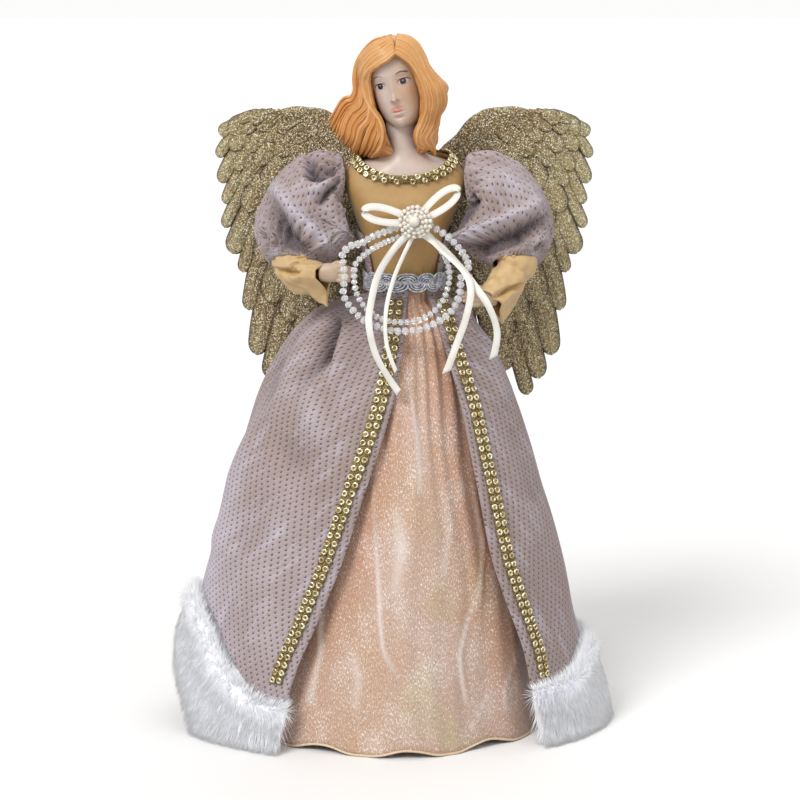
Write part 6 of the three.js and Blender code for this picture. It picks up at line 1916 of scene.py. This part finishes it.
# %% Head and neck
head_half_width, head_half_depth, head_half_height = 14.6 * MM, 17 * MM, 23 * MM
neck_half_width = 9 * MM
head_pose = (Matrix.Translation(chest + Vector((-neck_half_width * 0.5, -head_half_depth * 0.1,
                                                torso_height + head_half_height * 1.775)))
             @ Matrix.Rotation(math.radians(-9), 4, "Y") @ Matrix.Rotation(math.radians(-12), 4, "Z"))
face_shares = (  # height from chin to crown, half width, front depth, back depth
    (-1, 0.05, 0.3, -0.1), (-0.96, 0.3, 0.62, 0.1), (-0.85, 0.52, 0.8, 0.25), (-0.65, 0.72, 0.86, 0.45),
    (-0.4, 0.87, 0.89, 0.72), (-0.1, 0.96, 0.92, 0.92), (0.2, 1, 0.96, 1), (0.5, 0.95, 0.93, 0.98),
    (0.75, 0.76, 0.76, 0.82), (0.92, 0.44, 0.44, 0.5), (1, 0.03, 0.03, 0.03),
)
feature_shares = (  # across, on both sides unless 0, and up from the face's middle, size, depth
    (0, -0.35, 0.12, 0.1, 0.15), (0, -0.12, 0.11, 0.22, 0.07), (0, -0.38, 0.16, 0.05, 0.06),
    (0.115, -0.375, 0.06, 0.045, 0.05), (0.1, -0.415, 0.045, 0.018, -0.05),
    (0.46, 0.02, 0.25, 0.13, -0.085), (0.465, -0.003, 0.17, 0.066, 0.05),
    (0.465, 0.088, 0.2, 0.02, 0.028), (0.45, 0.22, 0.3, 0.06, 0.022),
    (0, -0.625, 0.24, 0.1, 0.05), (0.09, -0.588, 0.13, 0.028, 0.035),
    (0, -0.68, 0.17, 0.04, 0.05), (0, -0.627, 0.26, 0.014, -0.035), (0, -0.752, 0.17, 0.03, -0.04),
    (0, -0.51, 0.035, 0.05, -0.02), (0, -0.88, 0.2, 0.1, 0.07), (0.5, -0.3, 0.28, 0.22, 0.035),
)
features = [(side * across, *rest) for across, *rest in feature_shares
            for side in ((1, -1) if across else (1,))]
jaw_shares = ((-1, 1.25), (-0.85, 1.24), (-0.65, 1.17), (-0.4, 1.09), (-0.1, 1.02), (0.2, 1), (1, 1))


def head_spot(u, v):
    """The casting's skin: fuller at the jaw and longer at the chin than its plain ovals."""
    level = 1 - 2 * v
    angle = pi / 2 + tau * u + 0.55 * sin(tau * u)
    front = sin(angle) < 0
    x = head_half_width * read(face_shares, level, 1) * read(jaw_shares, level) * cos(angle)
    y = head_half_depth * read(face_shares, level, 2 if front else 3) * sin(angle)
    if front:
        for across, up, wide, tall, depth in features:
            if abs(level - up) < 3 * tall:
                swell = bell(x / head_half_width - across, wide) * bell(level - up, tall)
                y -= head_half_depth * depth * swell
    chin = 0.13 * clamp(-level / 0.9) ** 1.5
    return Vector((x, y, head_half_height * (level - chin)))


def head_paint_place(u, v):
    """Flat coordinates across and up for the front, and a place with no paint for the back."""
    spot = head_spot(u, v)
    return (spot.x, spot.z) if spot.y < 0 else (0.1, 0.1)

# %% The head is cast
head = grid_sheet(180, 170, head_spot, wrap=True, cut=head_paint_place)
bmesh.ops.transform(head, matrix=head_pose @ Matrix.Rotation(math.radians(-5), 4, "Y"), verts=head.verts)
hang("head_casting", seal(head), face_paint, "figure", ["head_and_bust"])

neck_shares = (  # way from the plate to the neck, narrowing, rise above the neckline, shift
    (0, 0, 0, 0), (0.14, 0.28, 0.02, 0), (0.28, 0.62, 0.06, 0), (0.4, 0.9, 0.1, 0), (0.52, 1, 0.17, -0.1),
    (1, 1.02, 1, -0.3),
)
core_offset = -satin_thickness - 2 * clearance
neck_top = torso_height + head_half_height * 1.25


def neck_spot(u, v):
    angle = (u + 0.25) * tau
    if v < 0.3:
        return bodice_point(angle, lerp(0.8, 0.95, v / 0.3), core_offset)
    way = (v - 0.3) / 0.7
    share, rise, shift = (read(neck_shares, way, k) for k in (1, 2, 3))
    base = bodice_point(angle, 0.95, core_offset) - chest
    width = lerp(1, neck_half_width / math.hypot(base.x, base.y), share)
    swell = clamp(share) ** 1.5
    collarbone = 0.9 * MM * bell(way - 0.2, 0.08) * bell(abs(cos(angle)) - 0.45, 0.3) * clamp(-sin(angle) * 2)
    x = lerp(base.x * width, neck_half_width * cos(angle), swell) + shift * neck_half_width
    y = lerp(base.y * width, neck_half_width * 0.95 * sin(angle), swell) - collarbone
    return chest + Vector((x, y, lerp(lerp(base.z, torso_height, share), neck_top, rise)))


neck = grid_sheet(96, 70, neck_spot, wrap=True, cut=lambda u, v: (0.1, 0.1))
hang("neck_and_shoulder_plate", seal(neck), face_paint, "figure")

# %% [markdown]
# ## Moulded hair
#
# The hair is cast too, so it is a solid mass with locks cut into its skin. Combing particles would
# give loose hairs, which a casting doesn't have. Here a mass wraps the head, with grooves pressed in.

# %% Hair paint
hair_paint, tree, shader = new_material("painted hair", tone(216, 142, 80), 0.42, coat_weight=0.12,
                                        coat_roughness=0.3)
ridge_shade_noise = noise_of(tree, place_of(tree), 260.0, 3.0, 0.6)
height = math_node(tree, "MULTIPLY_ADD", math_node(tree, "SUBTRACT", ridge_shade_noise, 0.5), 0.5,
                   axes_of(tree, uv_of(tree))[0])
slow = mottled(tree, place_of(tree), 38.0)
crown = axes_of(tree, place_of(tree))[2]
# Painted shade in the grooves and a painted highlight on the crests, from the relief in the UV map.
shade = mix_color(tree, ramp(tree, height, 0.05, 0.5), (150, 86, 38), (202, 134, 66))
shade = tinted(tree, shade, (
    (height, 0.66, 1.05, 0.85, (234, 190, 142)), (slow, 0.2, 1.0, 0.35, (208, 148, 72)),
    (crown, 0.36, 0.4, 0.5, (222, 168, 102))))
scratches = noise_of(tree, place_of(tree), 900.0, 2.0)
plug(shader, base_color=shade, normal=bump(tree, scratches, 0.15, 0.0003))

# %% Mass of the hair
hair_shares = (  # height in head half heights, half width to +X, to -X, front depth, back depth
    (-1.86, 0.6, 1.0, 0.3, 0.6), (-1.72, 1.2, 1.75, 0.6, 1.05), (-1.38, 1.25, 2.35, 0.86, 1.25),
    (-1.05, 1.35, 2.7, 0.88, 1.3), (-0.7, 1.75, 2.35, 0.84, 1.27), (-0.35, 1.95, 1.7, 0.84, 1.22),
    (0.05, 1.6, 1.4, 0.94, 1.2), (0.45, 1.32, 1.34, 1.05, 1.17), (0.8, 1.06, 1.12, 0.94, 1),
    (1.05, 0.66, 0.7, 0.62, 0.68), (1.18, 0.05, 0.05, 0.05, 0.05),
)
window_shares = (  # height, right and left edge of the opening for the face
    (-2.2, 0.5, -0.42), (-1.5, 0.66, -0.55), (-1.0, 0.92, -0.7), (-0.5, 1.08, -0.98), (0, 1.04, -1.05),
    (0.35, 0.86, -0.92), (0.6, 0.46, -0.54), (0.74, 0.02, -0.02), (1.2, 0.001, -0.001),
)


def hair_spot(u, v):
    """The mass across from the opening's right edge round the back to its left edge, and down."""
    level = lerp(1.18, -1.86, v ** 0.92)
    right, left = read(hair_shares, level, 1), read(hair_shares, level, 2)
    start = -math.acos(clamp(read(window_shares, level, 1) / right, -1, 1))
    end = tau - math.acos(clamp(read(window_shares, level, 2) / left, -1, 1))
    angle = lerp(start, end, u)
    behind = clamp(0.4 + 2 * sin(angle))
    relief = hair_relief(u, v)
    edge = min(u, 1 - u)
    rolled = 1 - math.sqrt(clamp(1 - (1 - clamp(edge / 0.05)) ** 2))
    inset = (-1.6 * (1 - behind) + 1.3 * behind * (relief - 0.6) * clamp(5 * v) - 2.5 * rolled) * MM
    inset += (1.3 * sin(17 * v + 3 * sin(angle)) * behind * clamp(3 * v - 0.3)) * MM
    width = head_half_width * (right if cos(angle) > 0 else left) + inset
    depth = head_half_depth * read(hair_shares, level, 3 if sin(angle) < 0 else 4) + inset
    return Vector((width * cos(angle), depth * sin(angle), head_half_height * level))


def hair_relief(u, v):
    """Height of the carved locks, from 0 in a groove to 1 on a crest."""
    sway = 0.02 * sin(19 * v + 5 * u) * clamp(3 * v) + 0.012 * noise.noise(Vector((7 * u, 6 * v, 2)))
    place = u + sway
    return 0.6 * abs(sin(pi * 15 * place)) ** 0.6 + 0.28 * abs(sin(pi * 41 * place)) + 0.12 * abs(
        sin(pi * 97 * place))


mass = grid_sheet(300, 150, hair_spot, cut=lambda u, v: (hair_relief(u, v), v))
bmesh.ops.recalc_face_normals(mass, faces=mass.faces)
bmesh.ops.transform(mass, matrix=head_pose, verts=mass.verts)

# %% [markdown]
# ## Locks
#
# The locks that show from the front could be carved into the mass, but would keep soft edges. They
# are ribbed tubes laid on it. Their routes are chosen in the picture, on guide lines from the parting
# to the tips, and the depth of every point comes from the mass underneath.

# %% Guide lines of the locks
pixel_size = field_width / 800
lock_points, lock_sides = 84, 30


def on_picture(pixel_x, pixel_y, y):
    """The point at depth y that shows at a pixel of the 800 x 800 picture."""
    toward = Vector((0, -cos(camera_elevation), sin(camera_elevation)))
    up = Vector((0, sin(camera_elevation), cos(camera_elevation)))
    on_plane = target + Vector((1, 0, 0)) * (pixel_x - 400) * pixel_size + up * (400 - pixel_y) * pixel_size
    eye = target + toward * camera_distance
    ray = on_plane - eye
    return eye + ray * ((y - eye.y) / ray.y)


left_guides = (  # pixels from the parting to the tips, from the outer lock to the one by the cheek
    ((389, 36), (373, 41), (362, 53), (356, 65), (354, 78), (354.5, 90), (351, 97), (345.5, 98), (341, 102),
     (335, 112), (327, 123.5)),
    ((393, 39), (379, 48), (367, 58), (360, 70), (359, 82), (359, 93), (356, 104), (348, 110), (342, 119),
     (338, 129), (335, 137)),
    ((394, 45), (382, 53), (372, 60), (365, 71), (364, 83), (365, 96), (363, 107), (355, 115), (349.5, 125),
     (347, 135), (343, 143)),
    ((394.5, 49), (386, 56), (377, 62), (370, 70), (368, 82), (370, 96), (371, 108), (363, 119), (356, 127),
     (353.5, 139), (348, 149)),
    ((394.5, 51), (387, 58), (378, 63.5), (367, 72), (363.5, 82.5), (366, 96.5), (370, 109), (371, 121),
     (364, 130.5), (359.5, 143), (355, 156)),
    ((394.5, 52), (387, 59), (378, 64), (366, 72.5), (363.5, 83), (366, 97.5), (371.5, 110), (378, 121.5),
     (379.5, 133), (375, 145), (368, 157)),
    ((394.5, 52.5), (387, 59.5), (378, 64.5), (366, 73), (363.5, 84), (366, 98), (372, 109.5), (379.5, 120),
     (383.5, 135), (381, 149), (372, 158)),
)
right_guides = (
    ((397, 34.5), (408, 36.5), (417, 43), (424, 55), (428, 65.5), (435, 75), (442, 85), (445.5, 97),
     (444, 107), (439, 115.5), (437, 126), (430.5, 136.5), (434, 147), (435.5, 157)),
    ((396, 38), (407.5, 42), (416.5, 51), (422, 62), (426, 72.5), (431.5, 82.5), (436, 92), (437, 102),
     (435, 112), (432.5, 121), (430, 129), (425, 138), (428, 146), (434, 149)),
    ((395.5, 44), (405, 48.5), (413, 56), (418, 66.5), (422, 77), (426, 87), (429, 97), (429.5, 106),
     (427, 115), (425.5, 123.5), (422, 131.5), (419, 140), (423, 147), (430, 145)),
    ((395, 52), (402, 56), (410.5, 62.5), (417.5, 72.5), (422.5, 84), (425.5, 96), (426, 104),
     (425.5, 111.5), (423, 118.5), (420.5, 125), (417.5, 132.5), (417.5, 140.5), (421, 147), (428, 148)),
)
back_to_head = head_pose.inverted()

# %% Locks
def lay_on_hair(pixel_x, pixel_y, lift):
    """A point on the hair's mass behind a pixel, lifted off it."""
    y = -10 * MM
    for _ in range(3):
        local = back_to_head @ on_picture(pixel_x, pixel_y, y)
        level = clamp(local.z / head_half_height, -1.84, 1.12)
        side = head_half_width * read(hair_shares, level, 1 if local.x > 0 else 2)
        share = clamp(local.x / side, -0.985, 0.985)
        local.y = -head_half_depth * read(hair_shares, level, 3) * math.sqrt(1 - share * share) - lift
        y = (head_pose @ local).y
    return on_picture(pixel_x, pixel_y, y)


def hair_lock(pixels, width, lift, seed):
    """A ribbed tube along a route, thin at the parting and drawn out at the tip."""
    route = [lay_on_hair(x, y, lift) for x, y in pixels]
    path = smooth_path(route, lock_points)
    dice = random.Random(seed)
    ribs = dice.choice((4, 5, 6))
    phase = dice.random() * tau

    def section(i):
        along = i / (lock_points - 1)
        grow = lerp(0.55, 1, clamp(3.2 * along)) * (1 - 0.72 * clamp((along - 0.82) / 0.18) ** 2)
        corners = []
        for k in range(lock_sides):
            angle = tau * k / lock_sides
            rib = 1 + 0.1 * cos(ribs * angle + phase + 2.4 * along)
            corners.append((width * grow * rib * cos(angle), width * 0.7 * grow * rib * sin(angle)))
        return corners

    # The UV's first value feeds the hair's painted shade and highlight: low in the grooves, high on the ribs.
    def relief(u, v):
        angle = tau * u
        rib = 0.5 + 0.5 * cos(ribs * angle + phase + 2.4 * v)
        return (clamp(0.25 + 0.45 * rib + 0.3 * abs(sin(angle))), v * 0.1)

    def outward(i):
        return (head_pose.to_3x3() @ Vector((0, 0, 1))).cross(path[i] - head_pose.translation)

    return sweep(path, outward, section, cut=relief)


def between(guides, place):
    """A route between two guide lines."""
    k = min(int(place), len(guides) - 2)
    share = place - k
    return [(lerp(a[0], b[0], share), lerp(a[1], b[1], share)) for a, b in zip(guides[k], guides[k + 1])]


locks = []
for guides, count, seed in ((left_guides, 19, 100), (right_guides, 14, 200)):
    for k in range(count):
        place = (len(guides) - 1) * k / (count - 1)
        lift = (0.3 + 0.9 * (k % 2)) * MM
        locks.append(hair_lock(between(guides, place), (1.75 + 0.35 * (k % 3)) * MM, lift, seed + k))
thicken(hang("hair_mass", mass, hair_paint, "figure", ["moulded_hair"]), 1.2 * MM)
hang("hair_locks", merge(locks), hair_paint, "figure")

# %% [markdown]
# ## What the frame already carries
#
# The card cone, the foam core, the arm wire and the wings' bridge are plain shapes that hardly show,
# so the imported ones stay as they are. They could be built again with more edges, which nobody would
# see; they only get a finish: grey board, fine foam, drawn wire.

# %% Finishes of the hidden pieces
def plain_finish(name, low, high, scale, roughness, depth, **sockets):
    """Two tones and a grain of the same scale."""
    made, tree, shader = new_material(name, tone(*low), roughness, **sockets)
    grain = grained(shader, low, high, scale, 3.0)
    plug(shader, normal=bump(tree, grain, 0.4, depth))
    return made


grey_board = plain_finish("grey board", (176, 168, 152), (206, 198, 182), 420.0, 0.85, 0.0002)
white_foam = plain_finish("white foam", (226, 224, 216), (246, 244, 238), 700.0, 0.8, 0.0006)
drawn_wire = plain_finish("drawn wire", (120, 120, 122), (170, 170, 172), 900.0, 0.35, 0.0001, metallic=0.9)
carried = {"base_cone": grey_board, "wing_bridge": grey_board, "torso_core": white_foam,
           "arm_wire": drawn_wire}
for name, finish in carried.items():
    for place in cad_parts[name].material_slots:
        place.material = finish

# %% [markdown]
# ## Cloth as it was cut
#
# Each cloth was cut flat before it was sewn, gathered or drawn over the arm. These cuts are not
# set down in this script.

# %% An empty loop over the two sides
for name in ("right", "left"):
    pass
